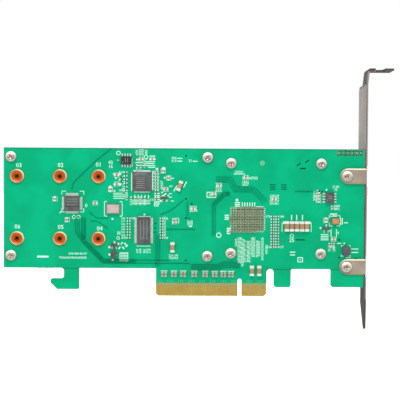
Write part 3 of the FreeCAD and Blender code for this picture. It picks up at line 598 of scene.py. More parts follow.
substrate = moulded_finish("package_laminate", paint(14, 70, 44), paint(24, 92, 60), (0.35, 0.5), 0.3)
heatsink_metal = anodised_finish("heatsink_anodised", paint(30, 31, 34), paint(54, 55, 60))
rubber = moulded_finish("thermal_rubber", paint(120, 132, 150), paint(146, 158, 172), (0.7, 0.85),
                        0.5, 0.03)
socket_plastic = moulded_finish("socket_plastic", paint(24, 24, 27), paint(42, 42, 46), (0.4, 0.55))
resistor_black = resistor_finish()
ceramic_brown = moulded_finish("capacitor_ceramic", paint(120, 104, 82), paint(156, 136, 108),
                               (0.4, 0.55), 0.2)
ceramic_orange = moulded_finish("large_capacitor_ceramic", paint(140, 102, 66),
                                paint(168, 128, 88), (0.4, 0.55), 0.3)
tantalum_yellow = moulded_finish("tantalum_mould", paint(158, 98, 56), paint(184, 126, 82),
                                 (0.45, 0.6), 0.2)
crystal_ceramic = moulded_finish("crystal_ceramic", paint(104, 96, 92), paint(136, 128, 122))
ferrite = moulded_finish("inductor_ferrite", paint(58, 58, 62), paint(84, 84, 88), (0.55, 0.75),
                         0.25, 0.03)
can_aluminium = can_finish()

NODE_FINISHES = {
    "circuit_board": mask, "slot_bracket": bracket_steel, "bracket_nuts": nut_steel,
    "edge_contacts_solder_side": gold, "edge_contacts_component_side": gold,
    "upper_drive_socket": socket_plastic, "lower_drive_socket": socket_plastic,
    "upper_socket_contacts": lead_tin, "lower_socket_contacts": lead_tin,
    "drive_heatsink": heatsink_metal, "controller_heatsink": heatsink_metal,
    "drive_thermal_pads": rubber, "controller_thermal_pad": rubber,
    "switch_chip_substrate": substrate, "switch_chip_lid": lid_nickel,
    "microcontroller": chip_black, "microcontroller_leads": lead_tin,
    "power_monitor": chip_black, "power_monitor_pads": lead_tin,
    "bus_expander": chip_black, "bus_expander_leads": lead_tin,
    "memory_chip": memory_black, "memory_chip_leads": lead_tin,
    "sensor_chip": chip_black, "sensor_chip_leads": lead_tin,
    "transistors": chip_black, "transistor_leads": lead_tin,
    "crystal_base": crystal_ceramic, "crystal_can": crystal_steel,
    "chip_resistors": resistor_black, "small_capacitors": ceramic_brown,
    "lane_capacitors": ceramic_brown, "decoupling_capacitors": ceramic_brown,
    "large_capacitors": ceramic_orange, "tantalum_capacitor": tantalum_yellow,
    "diode": chip_black, "power_choke": ferrite, "power_inductors": ferrite,
    "indicator_header": socket_plastic, "indicator_header_pins": header_tin,
    "can_capacitor_base": socket_plastic, "can_capacitor": can_aluminium,
    "drive_standoffs": standoff_orange, "bracket_screws": screw_steel,
    "drive_heatsink_screws": screw_steel, "controller_heatsink_screws": screw_steel,
}
for node_name, material in NODE_FINISHES.items():
    nodes[node_name].data.materials.clear()
    nodes[node_name].data.materials.append(material)


# ---- Reading places from the frame ----
board = box_of("circuit_board")
BOARD_FACE = {SOLDER: board.low.y, COMPONENT: board.high.y}


def on_board(side, x, z, height=0.0):
    """A point over one face of the board."""
    return Vector((x, BOARD_FACE[side] + side * height, z))


# ---- Meshes of single parts, made once and copied ----
def mesh_from(name, build):
    """A mesh made by a function that fills a bmesh; its faces are turned outwards."""
    shape = bmesh.new()
    build(shape)
    bmesh.ops.remove_doubles(shape, verts=shape.verts, dist=MERGE_DISTANCE)
    bmesh.ops.recalc_face_normals(shape, faces=shape.faces)
    mesh = bpy.data.meshes.new(name)
    shape.to_mesh(mesh)
    shape.free()
    return mesh


def add_block(shape, low, high):
    """A box from its low to its high corner."""
    corners = [Vector((x, y, z)) for x in (low[0], high[0]) for y in (low[1], high[1])
               for z in (low[2], high[2])]
    verts = [shape.verts.new(corner) for corner in corners]
    for loop in ((0, 1, 3, 2), (4, 6, 7, 5), (0, 4, 5, 1), (2, 3, 7, 6), (0, 2, 6, 4), (1, 5, 7, 3)):
        shape.faces.new([verts[index] for index in loop])


def turned_point(radius, y, index, count):
    """One point of a ring about Y, out of count points."""
    angle = 2 * math.pi * index / count
    return radius * math.cos(angle), y, radius * math.sin(angle)


def ring_at(shape, radius, y, count):
    """New points of a ring about Y."""
    return [shape.verts.new(turned_point(radius, y, index, count)) for index in range(count)]


def join_rings(shape, rings):
    """Faces between following rings of the same count, or between a ring and a single point."""
    for first, second in zip(rings, rings[1:]):
        count = max(len(first), len(second))
        for index in range(count):
            following = (index + 1) % count
            corners = [first[index % len(first)], first[following % len(first)],
                       second[following % len(second)], second[index % len(second)]]
            shape.faces.new(list(dict.fromkeys(corners)))


def add_prism(shape, outline, low, high):
    """A prism along Z from an outline of (x, y) points."""
    ends = [[shape.verts.new((x, y, z)) for x, y in outline] for z in (low, high)]
    for end in ends:
        shape.faces.new(end)
    join_rings(shape, ends)


def add_turned(shape, profile, segments):
    """A turned shape about Y from (radius, y) points, open or closed by points on the axis."""
    join_rings(shape, [ring_at(shape, radius, y, segments if radius else 1) for radius, y in profile])


def turned_mesh(name, segments, *profile):
    """A mesh of one turned shape."""
    return mesh_from(name, lambda shape: add_turned(shape, profile, segments))


# ---- Geometry Nodes ----
class Tree(Graph):
    """A geometry tree with named inputs, used as a modifier and then applied."""

    def __init__(self, name, **inputs):
        super().__init__(bpy.data.node_groups.new(name, "GeometryNodeTree"))
        interface = self.tree.interface
        interface.new_socket("Geometry", in_out="INPUT", socket_type="NodeSocketGeometry")
        interface.new_socket("Geometry", in_out="OUTPUT", socket_type="NodeSocketGeometry")
        self.identifiers = {}
        for label, kind in inputs.items():
            socket = interface.new_socket(label.replace("_", " "), in_out="INPUT",
                                          socket_type="NodeSocket" + kind)
            self.identifiers[label] = socket.identifier
        self.group_input = self.tree.nodes.new("NodeGroupInput")

    def given(self, label):
        return Value(self, self.group_input.outputs[label.replace("_", " ")])

    def close(self, geometry):
        realized = self.add("GeometryNodeRealizeInstances", None, {0: geometry})
        painted = self.add("GeometryNodeSetMaterial", None,
                           {"Geometry": realized, "Material": self.given("Finish")})
        output = self.tree.nodes.new("NodeGroupOutput")
        self.connect(output.inputs[0], painted)

    def run(self, mesh, **values):
        """The plain mesh that the tree makes from a mesh and its input values."""
        carrier = bpy.data.objects.new("carrier", mesh)
        bpy.context.scene.collection.objects.link(carrier)
        modifier = carrier.modifiers.new("tree", "NODES")
        modifier.node_group = self.tree
        for label, value in values.items():
            modifier[self.identifiers[label]] = value
        depsgraph = bpy.context.evaluated_depsgraph_get()
        result = bpy.data.meshes.new_from_object(carrier.evaluated_get(depsgraph))
        carrier.modifiers.remove(modifier)
        bpy.data.objects.remove(carrier)
        result.materials.clear()
        result.materials.append(values["Finish"])
        return result


def make_copies_tree():
    """Copies of a part on points, each with its own turn and scale."""
    tree = Tree("placed_copies", Part="Object", Length="Float", Height="Float", Width="Float",
                Finish="Material")
    turn, size = (tree.add("GeometryNodeInputNamedAttribute", {"data_type": "FLOAT_VECTOR"}, {0: name})
                  for name in ("turn", "size"))
    common = tree.add("ShaderNodeCombineXYZ", None, {0: tree.given("Length"),
                                                     1: tree.given("Height"),
                                                     2: tree.given("Width")})
    scale = tree.add("ShaderNodeVectorMath", {"operation": "MULTIPLY"}, {0: size, 1: common})
    part = tree.add("GeometryNodeObjectInfo", None, {"Object": tree.given("Part")}, "Geometry")
    rotation = tree.add("FunctionNodeEulerToRotation", None, {0: turn})
    copies = tree.add("GeometryNodeInstanceOnPoints", None, {
        "Points": tree.given("Geometry"), "Instance": part, "Rotation": rotation, "Scale": scale})
    tree.close(copies)
    return tree


def make_ribbon_tree():
    """Flat tracks along paths that lie in the XY plane, stood up into the XZ plane."""
    tree = Tree("tracks_on_paths", Width="Float", Thickness="Float", Corner="Float", Level="Float",
                Finish="Material")
    paths = tree.add("GeometryNodeMeshToCurve", None, {0: tree.given("Geometry")})
    rounded = tree.add("GeometryNodeFilletCurve", None, {0: paths, "Radius": tree.given("Corner"),
                                                         "Limit Radius": True})
    tree.tree.nodes[-1].mode = "POLY"
    upright = tree.add("GeometryNodeSetCurveNormal", None, {0: rounded})
    tree.tree.nodes[-1].mode = "Z_UP"
    section = tree.add("GeometryNodeCurvePrimitiveQuadrilateral", None,
                       {"Width": tree.given("Thickness"), "Height": tree.given("Width")})
    tracks_mesh = tree.add("GeometryNodeCurveToMesh", None,
                           {"Curve": upright, "Profile Curve": section, "Fill Caps": True})
    level = tree.add("ShaderNodeCombineXYZ", None, {1: tree.given("Level")})
    stood = tree.add("GeometryNodeTransform", None, {
        "Geometry": tracks_mesh, "Translation": level, "Rotation": (RIGHT_ANGLE, 0, 0)})
    tree.close(stood)
    return tree


copies_tree = make_copies_tree()
ribbon_tree = make_ribbon_tree()


class Place:
    """Where one copy goes: a point on a face of the board, a turn seen from outside, and a scale."""

    def __init__(self, side, x, z, height=0.0, size=(1, 1, 1), turn=0.0):
        self.point = on_board(side, x, z, height)
        self.size = size
        self.turn = (0, -turn, 0 if side == SOLDER else math.pi)


def over(boxes, height=0.0):
    """A place over the middle of each box, on the solder side."""
    return [Place(SOLDER, box.middle.x, box.middle.z, height) for box in boxes]


def copies(part, places, finish, length=1.0, height=1.0, width=1.0):
    """One mesh of copies of a part mesh at a list of places."""
    template = bpy.data.objects.new("template", part)
    points = bpy.data.meshes.new("points")
    points.from_pydata([place.point for place in places], [], [])
    for name in ("turn", "size"):
        values = [number for place in places for number in getattr(place, name)]
        points.attributes.new(name, "FLOAT_VECTOR", "POINT").data.foreach_set("vector", values)
    mesh = copies_tree.run(points, Part=template, Length=length, Height=height, Width=width,
                           Finish=finish)
    bpy.data.objects.remove(template)
    return mesh


def piece(name, meshes, smooth_angle=None):
    """One object of the card from one or more meshes."""
    joined = bmesh.new()
    materials = []
    for mesh in meshes:
        for material in mesh.materials:
            if material not in materials:
                materials.append(material)
        first = len(joined.faces)
        joined.from_mesh(mesh)
        joined.faces.ensure_lookup_table()
        index = materials.index(mesh.materials[0])
        for face in joined.faces[first:]:
            face.material_index = index
    merged = bpy.data.meshes.new(name)
    joined.to_mesh(merged)
    joined.free()
    for material in materials:
        merged.materials.append(material)
    item = bpy.data.objects.new(name, merged)
    bpy.context.scene.collection.objects.link(item)
    if smooth_angle is not None:
        merged.shade_smooth()
        merged.set_sharp_from_angle(angle=smooth_angle)
    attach(item, "root")
    return item


# ---- Ends and solder of the chip parts ----
def chip_ends(size, share=END_CAP_SHARE):
    """The metal ends of a chip part that lies along X with its top towards -Y, and their solder."""
    half_length, height, half_width = size.x / 2, size.y, size.z / 2
    cap = size.x * share

    def build(shape):
        for sign in (-1, 1):
            inner, outer = sorted((sign * (half_length - cap), sign * (half_length + END_CAP_PROUD)))
            add_block(shape, (inner, -height - END_CAP_PROUD, -half_width - END_CAP_PROUD),
                      (outer, 0, half_width + END_CAP_PROUD))
            end = sign * (half_length + END_CAP_PROUD / 2)
            toe = sign * (half_length + FILLET_REACH)
            rise = -height * FILLET_RISE
            add_prism(shape, [(end, 0), (end, rise), ((end + toe) / 2, rise * FILLET_SAG),
                              (toe, -PAD_THICKNESS), (toe, 0)], -half_width, half_width)

    return mesh_from("chip_ends", build)


def lying(box):
    """A chip part's box as length, height and width, and the turn that brings it along X."""
    if box.size.x >= box.size.z:
        return Vector((box.size.x, box.size.y, box.size.z)), 0.0
    return Vector((box.size.z, box.size.y, box.size.x)), RIGHT_ANGLE


def ends_for(node, finish):
    """The metal ends of the chip parts of one CAD node, all of one size."""
    boxes = solids_of(node)
    size = lying(boxes[0])[0]
    places = [Place(SOLDER, box.middle.x, box.middle.z, turn=lying(box)[1]) for box in boxes]
    return copies(chip_ends(size), places, finish)


piece("chip_ends", [ends_for(node, finish) for node, finish in (
    ("chip_resistors", solder), ("small_capacitors", solder), ("lane_capacitors", dull_tin),
    ("decoupling_capacitors", via_tin))])


# ---- Screws and standoffs ----
def add_thread(shape, crest, depth, start, length):
    """Rings of a threaded wall about Y, from start along +Y. Its crests are at one radius, and its
    roots lie a depth inside them, or outside them where the depth is negative."""
    rows = int(length / THREAD_PITCH * THREAD_STEPS)
    rings = []
    for row in range(rows + 1):
        y = start + length * row / rows
        end_fade = min(1.0, min(y - start, start + length - y) / THREAD_PITCH * 2)
        ring = []
        for index in range(THREAD_SEGMENTS):
            phase = (y / THREAD_PITCH - index / THREAD_SEGMENTS) % 1.0
            ridge = 1 - abs(2 * phase - 1)
            reach = crest - depth * (1 - ridge) * end_fade
            ring.append(shape.verts.new(turned_point(reach, y, index, THREAD_SEGMENTS)))
        rings.append(ring)
    return rings


def recessed(mesh, tool):
    """A mesh with a tool mesh cut out of it."""
    body = bpy.data.objects.new("body", mesh)
    cutter = bpy.data.objects.new("cutter", tool)
    for item in (body, cutter):
        bpy.context.scene.collection.objects.link(item)
    modifier = body.modifiers.new("recess", "BOOLEAN")
    modifier.operation = "DIFFERENCE"
    modifier.solver = "EXACT"
    modifier.object = cutter
    result = bpy.data.meshes.new_from_object(
        body.evaluated_get(bpy.context.evaluated_depsgraph_get()))
    body.modifiers.remove(modifier)
    for item in (body, cutter):
        bpy.data.objects.remove(item)
    return result


def screw_mesh(shank_radius, length, head_radius, top_radius, head_height):
    """A pan-head screw with a cross recess. Its head's top is at y = 0 and its shank runs to +Y."""
    crown = head_height * CROWN_SHARE

    def build(shape):
        rings = [ring_at(shape, shank_radius * SHANK_TIP_SHARE, length, THREAD_SEGMENTS)]
        rings += add_thread(shape, shank_radius, THREAD_DEPTH, head_height,
                            length - head_height - THREAD_DEPTH)[::-1]
        rings += [ring_at(shape, radius, y, THREAD_SEGMENTS) for radius, y in (
            (head_radius * 0.97, head_height), (head_radius, head_height - HEAD_EDGE),
            (head_radius, head_height * 0.72), (head_radius * 0.975, head_height * 0.5),
            ((head_radius + top_radius) * 0.49, crown * 1.1), (top_radius * 0.86, crown * 0.45),
            (top_radius * 0.5, crown * 0.1))]
        join_rings(shape, rings + [ring_at(shape, 0, 0, 1)])
        shape.faces.new(rings[0])

    def build_recess(shape):
        """A cross-shaped tool: wide above the head, tapered inside it."""
        rings = []
        for y, share in ((-head_height, 1.0), (0.0, 1.0), (RECESS_DEPTH, RECESS_TAPER)):
            reach, half_width = RECESS_REACH * share, RECESS_WIDTH / 2 * (0.5 + share / 2)
            ring = []
            for quarter in range(4):
                turn = Matrix.Rotation(RECESS_TURN + quarter * RIGHT_ANGLE, 3, "Y")
                ring += [shape.verts.new(turn @ Vector(corner)) for corner in (
                    (reach, y, half_width), (reach, y, -half_width), (half_width, y, -half_width))]
            rings.append(ring)
        join_rings(shape, rings)
        shape.faces.new(rings[0])
        shape.faces.new(rings[-1])

    slots = mesh_from("recess", build_recess)
    return recessed(mesh_from("screw", build), slots)


def standoff_mesh(foot_radius, foot_height, flats, bore_radius, length):
    """A riveted standoff along Y: a dished foot from y = 0, a barrel to y = length, and its bore."""
    foot = [(foot_radius * 0.96, foot_height), (foot_radius, foot_height * 0.8),
            (foot_radius, foot_height * 0.45), (foot_radius * 0.965, foot_height * 0.1),
            (foot_radius * 0.9, 0.0), (foot_radius * 0.82, foot_height * 0.06),
            (foot_radius * 0.72, foot_height * 0.34), (foot_radius * 0.5, foot_height * 0.5),
            (bore_radius * 1.28, foot_height * 0.52), (bore_radius * 1.02, foot_height * 0.74)]

    def build(shape):
        rings = [hexagon_ring(shape, width, y) for width, y in (
            (flats - 2 * BARREL_CHAMFER, length), (flats, length - BARREL_CHAMFER),
            (flats, foot_height))]
        rings += [ring_at(shape, radius, y, THREAD_SEGMENTS) for radius, y in foot]
        rings += add_thread(shape, bore_radius - THREAD_DEPTH, -THREAD_DEPTH, foot_height * 0.9,
                            length - foot_height * 1.1)
        rings.append(ring_at(shape, bore_radius * 1.2, length, THREAD_SEGMENTS))
        join_rings(shape, rings + rings[:1])

    return mesh_from("standoff", build)


def hexagon_ring(shape, flats, y):
    """A ring of points round a hexagon, in the order of a thread's points."""
    sixth = math.pi / 3
    ring = []
    for index in range(THREAD_SEGMENTS):
        within = (2 * math.pi * index / THREAD_SEGMENTS + sixth / 2) % sixth - sixth / 2
        reach = flats / 2 / math.cos(within - math.copysign(sixth / 2, within))
        ring.append(shape.verts.new(turned_point(reach, y, index, THREAD_SEGMENTS)))
    return ring


def screws_for(node, name):
    """Detailed screws in place of the plain ones of a CAD node."""
    boxes = solids_of(node)
    box = boxes[0]
    mesh = screw_mesh(SHANK_RADII[node], box.size.y, box.size.x / 2, HEAD_TOP_RADIUS, HEAD_HEIGHT)
    height = BOARD_FACE[SOLDER] - box.low.y
    places = [Place(SOLDER, one.middle.x, one.middle.z, height,
                    turn=random.uniform(-SCREW_TURN_SPREAD, SCREW_TURN_SPREAD)) for one in boxes]
    screws = piece(name, [copies(mesh, places, screw_steel)], SCREW_SMOOTH_ANGLE)
    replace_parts(screws, node)


for node, name in (("bracket_screws", "bracket_pan_screws"),
                   ("drive_heatsink_screws", "drive_heatsink_pan_screws"),
                   ("controller_heatsink_screws", "controller_heatsink_pan_screws")):
    screws_for(node, name)

standoff_boxes = solids_of("drive_standoffs")
standoff = standoff_boxes[0]
foot = standoff.size.x / 2
foot_rise = BOARD_FACE[SOLDER] - standoff.low.y
detailed_standoff = standoff_mesh(foot, foot_rise, BARREL_FLATS, STANDOFF_BORE, standoff.size.y)
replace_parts(piece("riveted_standoffs", [copies(detailed_standoff, over(standoff_boxes, foot_rise),
                                               standoff_orange)],
                  STANDOFF_SMOOTH_ANGLE), "drive_standoffs")


# ---- Solder pads under the leads of chips ----
def pads_under(leads, bodies):
    """Tinned pads under the leads of some chips: each reaches a little past its lead's toe."""
    chips = solids_of(bodies)
    places = []
    for lead in solids_of(leads):
        chip = min(chips, key=lambda body: (body.middle - lead.middle).length)
        away = lead.middle - chip.middle
        along_x = abs(away.x) / chip.size.x > abs(away.z) / chip.size.z
        reach = math.copysign(LEAD_PAD_REACH / 2, away.x if along_x else away.z)
        length, width = (lead.size.x, lead.size.z) if along_x else (lead.size.z, lead.size.x)
        size = (length + LEAD_PAD_REACH, PAD_THICKNESS, width + 2 * LEAD_PAD_MARGIN)
        x = lead.middle.x + (reach if along_x else 0)
        z = lead.middle.z + (0 if along_x else reach)
        places.append(Place(SOLDER, x, z, 0, size, 0 if along_x else RIGHT_ANGLE))
    return copies(plate, places, solder)


plate = mesh_from("plate", lambda shape: add_block(shape, (-0.5, -0.5, -0.5), (0.5, 0.5, 0.5)))
piece("lead_pads", [pads_under(leads, bodies) for leads, bodies in (
    ("microcontroller_leads", "microcontroller"), ("power_monitor_pads", "power_monitor"),
    ("bus_expander_leads", "bus_expander"), ("memory_chip_leads", "memory_chip"),
    ("sensor_chip_leads", "sensor_chip"), ("transistor_leads", "transistors"))])


# ---- Tin ends of the large capacitors ----
def large_capacitor_ends():
    """Tin over both ends of each large capacitor, and the solder that runs down to its pads."""
    boxes = solids_of("large_capacitors")
    width = min(box.size.x for box in boxes)
    length = min(box.size.z for box in boxes)
    places = []
    for box in boxes:
        turn = LEANING_CAPACITOR_TURN if box.size.x > 1.2 * width else 0.0
        places.append(Place(SOLDER, box.middle.x, box.middle.z, turn=RIGHT_ANGLE - turn))
    return copies(chip_ends(Vector((length, boxes[0].size.y, width)), LARGE_END_SHARE), places, solder)


piece("large_capacitor_ends", [large_capacitor_ends()])


# ---- Marks: ink on the board and laser marks on chips ----
def glyph_mesh(character):
    """A digit as a plate of unit height and thickness, its face towards -Y."""
    curve = bpy.data.curves.new("glyph", "FONT")
    curve.body = character
    curve.resolution_u = 2
    curve.extrude = 0.5
    text = bpy.data.objects.new("glyph", curve)
    bpy.context.scene.collection.objects.link(text)
    mesh = bpy.data.meshes.new_from_object(
        text.evaluated_get(bpy.context.evaluated_depsgraph_get()))
    bpy.data.objects.remove(text)
    low, high = reach_of([vertex.co for vertex in mesh.vertices])
    tall = high.y - low.y
    mesh.transform(Matrix.Rotation(RIGHT_ANGLE, 4, "X")
                   @ Matrix.Diagonal((1 / tall, 1 / tall, 1, 1))
                   @ Matrix.Translation(-(low + high) / 2))
    return mesh


def hoop_mesh(name, inner):
    """A flat ring of unit outer radius and thickness."""
    return turned_mesh(name, HOOP_SEGMENTS, (inner, -0.5), (1, -0.5), (1, 0.5), (inner, 0.5),
                       (inner, -0.5))


glyphs = {character: glyph_mesh(character) for character in "0123456789"}
dot = turned_mesh("dot", DISC_SEGMENTS, (0, -0.5), (0.88, -0.5), (1, 0.0), (1, 0.5), (0, 0.5))
thin_hoop = hoop_mesh("thin_hoop", 0.72)
wide_hoop = hoop_mesh("wide_hoop", 0.5)


class Spot:
    """The point that a group of marks is placed from: dx to the right of it and dz above it, in mm."""

    def __init__(self, box, dx=0.0, dz=0.0):
        self.box = box
        self.x = box.middle.x + dx * MM
        self.z = box.middle.z + dz * MM


class Marks:
    """Marks on one face of the board, or on a chip at some height over it, made together."""

    def __init__(self, side, height=0.0):
        self.side = side
        self.height = height
        self.parts = {}

    def put(self, part, spot, dx, dz, size, turn=0.0):
        place = Place(self.side, spot.x + dx * MM, spot.z + dz * MM, self.height, size,
                      math.radians(turn))
        self.parts.setdefault(part.name, (part, []))[1].append(place)

    def bar(self, spot, dx, dz, length, width=0.3, turn=0.0):
        self.put(plate, spot, dx, dz, (length * MM, INK_THICKNESS, width * MM), turn)

    def bars(self, spot, dx, dz, count, pitch, length, width=0.3, upright=False):
        """Parallel bars: lying ones that step downwards, or upright ones that step to the right."""
        for index in range(count):
            step = (index - (count - 1) / 2) * pitch
            if upright:
                self.bar(spot, dx + step, dz, width, length)
            else:
                self.bar(spot, dx, dz - step, length, width)

    def frame(self, spot, dx, dz, half_x, half_z, width=0.25):
        for sign in (-1, 1):
            self.bar(spot, dx, dz + sign * half_z, 2 * half_x + width, width)
            self.bar(spot, dx + sign * half_x, dz, width, 2 * half_z - width)

    def corners(self, spot, dx, dz, half_x, half_z, arm, width=0.3):
        for i in (-1, 1):
            for k in (-1, 1):
                self.bar(spot, dx + i * (half_x - arm / 2), dz + k * half_z, arm + width, width)
                self.bar(spot, dx + i * half_x, dz + k * (half_z - arm / 2), width, arm - width)

    def dot(self, spot, dx, dz, radius):
        self.put(dot, spot, dx, dz, (radius * MM, INK_THICKNESS, radius * MM))

    def ring(self, spot, dx, dz, radius, part=None):
        self.put(part or thin_hoop, spot, dx, dz, (radius * MM, INK_THICKNESS, radius * MM))

    def number(self, spot, dx, dz, digits, tall=1.1, turn=0.0):
        """Digits in a row, centred, that reads along a direction turned from the right."""
        along = math.radians(turn)
        for index, digit in enumerate(str(digits)):
            step = (index - (len(str(digits)) - 1) / 2) * tall * DIGIT_ADVANCE
            sign = 1 if self.side == SOLDER else -1
            self.put(glyphs[digit], spot, dx + sign * step * math.cos(along),
                     dz + step * math.sin(along), (tall * MM, INK_THICKNESS, tall * MM), turn)

    def label(self, spot, dx, dz, digits, tall=1.1):
        """A number that reads upwards."""
        self.number(spot, dx, dz, digits, tall, 90)

    def dots(self, spot, radius, *points):
        for dx, dz in points:
            self.dot(spot, dx, dz, radius)

    def strokes(self, spot, length, width, turn, *points):
        for dx, dz in points:
            self.bar(spot, dx, dz, length, width, turn)

    def rows(self, spot, dx, dz, pitch, tall, *numbers):
        """Numbers under each other, centred on a point."""
        for index, digits in enumerate(numbers):
            self.number(spot, dx, dz - (index - (len(numbers) - 1) / 2) * pitch, digits, tall)

    def meshes(self, finish):
        return [copies(part, places, finish) for part, places in self.parts.values()]


UPRIGHT = True


def each(draw, spot, *rows):
    """Draws one kind of mark from a spot once for each row of its other values."""
    for row in rows:
        draw(spot, *row)


def run_of_digits(count, first):
    """Plain digits in a fixed order, for a long label."""
    return "".join(str((first + 3 * index + index // 4) % 10) for index in range(count))


# ---- Tracks under the mask ----
def shifted(points, distance):
    """A path moved sideways by a distance, with its corners kept."""
    corners = [Vector(point) for point in points]
    ways = [(after - before).normalized() for before, after in zip(corners, corners[1:])]
    moved = []
    for index, corner in enumerate(corners):
        first, second = ways[max(index - 1, 0)], ways[min(index, len(ways) - 1)]
        across = Vector((-first.y - second.y, first.x + second.x)).normalized()
        narrowing = max(MITRE_LIMIT, across.dot((-first.y, first.x)))
        moved.append(corner + across * distance / narrowing)
    return moved


class Tracks:
    """Tracks on one face of the board, along paths given in mm from a spot."""

    def __init__(self, side, width):
        self.side = side
        self.width = width
        self.corners = []
        self.runs = []

    def line(self, spot, *points):
        first = len(self.corners)
        self.corners += [(spot.x + dx * MM, spot.z + dz * MM, 0) for dx, dz in points]
        self.runs += [(first + index, first + index + 1) for index in range(len(points) - 1)]

    def bundle(self, spot, count, pitch, *points):
        """Tracks side by side, centred on one path."""
        for index in range(count):
            self.line(spot, *shifted(points, (index - (count - 1) / 2) * pitch))

    def mesh(self, finish):
        paths = bpy.data.meshes.new("paths")
        paths.from_pydata(self.corners, self.runs, [])
        return ribbon_tree.run(paths, Width=self.width * MM, Thickness=TRACE_THICKNESS,
                               Corner=TRACE_CORNER, Level=BOARD_FACE[self.side], Finish=finish)


# ---- Solder side: what is printed, routed and drilled round each chip ----
def spot_of(node):
    return Spot(box_of(node))


controller = spot_of("microcontroller")
crystal = spot_of("crystal_can")
memory = spot_of("memory_chip")
monitor = spot_of("power_monitor")
expander = spot_of("bus_expander")
field = spot_of("decoupling_capacitors")
bulk = Spot(around(sorted(solids_of("large_capacitors"), key=lambda box: box.low.x)[-BULK_COUNT:]))
sensor = spot_of("sensor_chip")
tantalum = spot_of("tantalum_capacitor")
choke = spot_of("power_choke")
header = spot_of("indicator_header_pins")

ink = Marks(SOLDER)
BAY_NUMBERS = (("03", 0.9, 5.1), ("02", 0.3, 5.3), ("01", 0.0, 5.65),
               ("06", 0.2, 5.5), ("05", 0.4, 5.4), ("04", 0.6, 4.8))
bay_boxes = sorted(standoff_boxes, key=lambda box: (-round(box.middle.z, 4), box.middle.x))


def mark_bays():
    """The number of each drive bay, above its standoff."""
    for box, (digits, dx, dz) in zip(bay_boxes, BAY_NUMBERS):
        ink.number(Spot(box), dx, dz, digits, 1.9)


def mark_left_side():
    """Round the microcontroller, its crystal and the memory chip."""
    ink.corners(controller, 0.3, 0.8, 5.1, 4.85, 1.8, 0.22)
    each(ink.bar, controller, (-5.3, -4.1, 1.5, 0.35, 45), (-13.65, -25.0, 5.3, 0.8))
    each(ink.ring, controller, (0.8, -6.4, 0.85), (3.0, -6.4, 0.85))
    each(ink.number, controller, (6.6, -1.0, "0", 1.6), (2.65, -23.5, run_of_digits(12, 2), 1.0),
         (0.4, -25.4, run_of_digits(18, 7), 1.0))
    each(ink.bars, crystal, (0, 0, 2, 8.3, 7.1, 0.25, UPRIGHT), (-3.6, 0, 2, 6.8, 1.2),
         (3.6, 0, 2, 6.8, 1.2))
    ink.dot(crystal, -0.4, -4.7, 0.45)
    ink.ring(memory, -3.7, 3.4, 1.0)
    ink.rows(memory, -7.3, -1.9, 1.9, 1.5, "42", "16")
    each(ink.bar, memory, (2.7, -0.8, 0.25, 4.2), (-3.9, 0.1, 0.8))


def mark_middle():
    """Round the power monitor, the bus expander and their resistors."""
    each(ink.bar, expander, (0.3, 6.45, 5.8, 0.35), (0, -7.3, 6.4))
    ink.dot(expander, 0.3, 7.4, 0.4)
    for dx, digits in ((-3.0, "107"), (-1.6, "204"), (0.4, "381"), (1.7, "562"), (2.9, "119")):
        ink.label(expander, dx, -9.6, digits, 1.0)
    for index in range(10):
        ink.number(expander, 9.6, 6.05 - 0.98 * index, 110 + 7 * index, 0.72)
    for index in range(8):
        ink.number(expander, -9.6, 5.6 - 1.3 * index, 208 + 9 * index, 0.8)
    for dx, count in ((-2.5, 3), (-1.0, 4), (0.2, 4), (1.9, 3)):
        ink.label(monitor, dx, 13.6, run_of_digits(count, 4))
    each(ink.bar, monitor, (-0.3, 5.1, 8.0, 0.4), (4.9, 0.6, 0.35, 8.5), (-4.9, 0, 0.35, 8.5),
         (22.6, -20.6, 1.5, 0.5))
    for dx, dz, length in ((4.7, 12.0, 2.6), (3.7, 9.3, 4.6), (3.7, 8.5, 3.9), (1.6, 7.5, 8.9),
                           (4.4, 6.7, 3.3), (-0.9, 10.4, 2.0), (-1.4, 8.9, 3.5), (13.9, 1.7, 1.8),
                           (13.4, -2.0, 1.4), (13.2, -5.5, 1.4), (13.2, -7.1, 1.4), (14.1, -8.9, 1.4),
                           (17.5, 11.0, 2.2), (17.5, 9.7, 2.2), (24.6, 9.7, 2.2)):
        ink.bar(monitor, dx, dz, length, 0.32)
    each(ink.ring, monitor, (1.8, 11.5, 1.0), (9.9, -7.2, 1.1, wide_hoop))
    ink.dots(monitor, 0.38, (9.3, -4.9), (10.9, -5.6), (8.6, -8.9), (11.6, -8.6), (12.2, -6.4))
    each(ink.bars, monitor, (7.0, -7.8, 6, 0.95, 2.6, 0.35), (6.6, -10.4, 3, 0.8, 2.2, 0.35, UPRIGHT),
         (-8.6, -1.6, 8, 1.1, 1.3, 0.25), (6.5, 0.26, 6, 1.445, 2.9, 0.22),
         (-10.6, -6.6, 4, 0.8, 5.6, 0.25), (-0.2, -7.0, 5, 1.6, 1.6, 0.35, UPRIGHT),
         (-0.4, -9.4, 3, 0.8, 8.4, 0.25), (22.4, -19.0, 3, 0.9, 2.2, 0.3, UPRIGHT))
    ink.label(monitor, 9.2, -1.6, run_of_digits(5, 4), 1.2)
    each(ink.rows, monitor, (14.8, 10.5, 1.3, 1.1, "204", "613"), (22.4, 9.9, 1.3, 1.2, "31"),
         (23.9, -12.5, 1.5, 1.3, "5081", "2230"), (15.7, -18.0, 1.5, 1.2, "6402", "1173"))
    ink.strokes(monitor, 3.0, 0.4, 61, (15.5, -3.0), (20.0, -1.2))


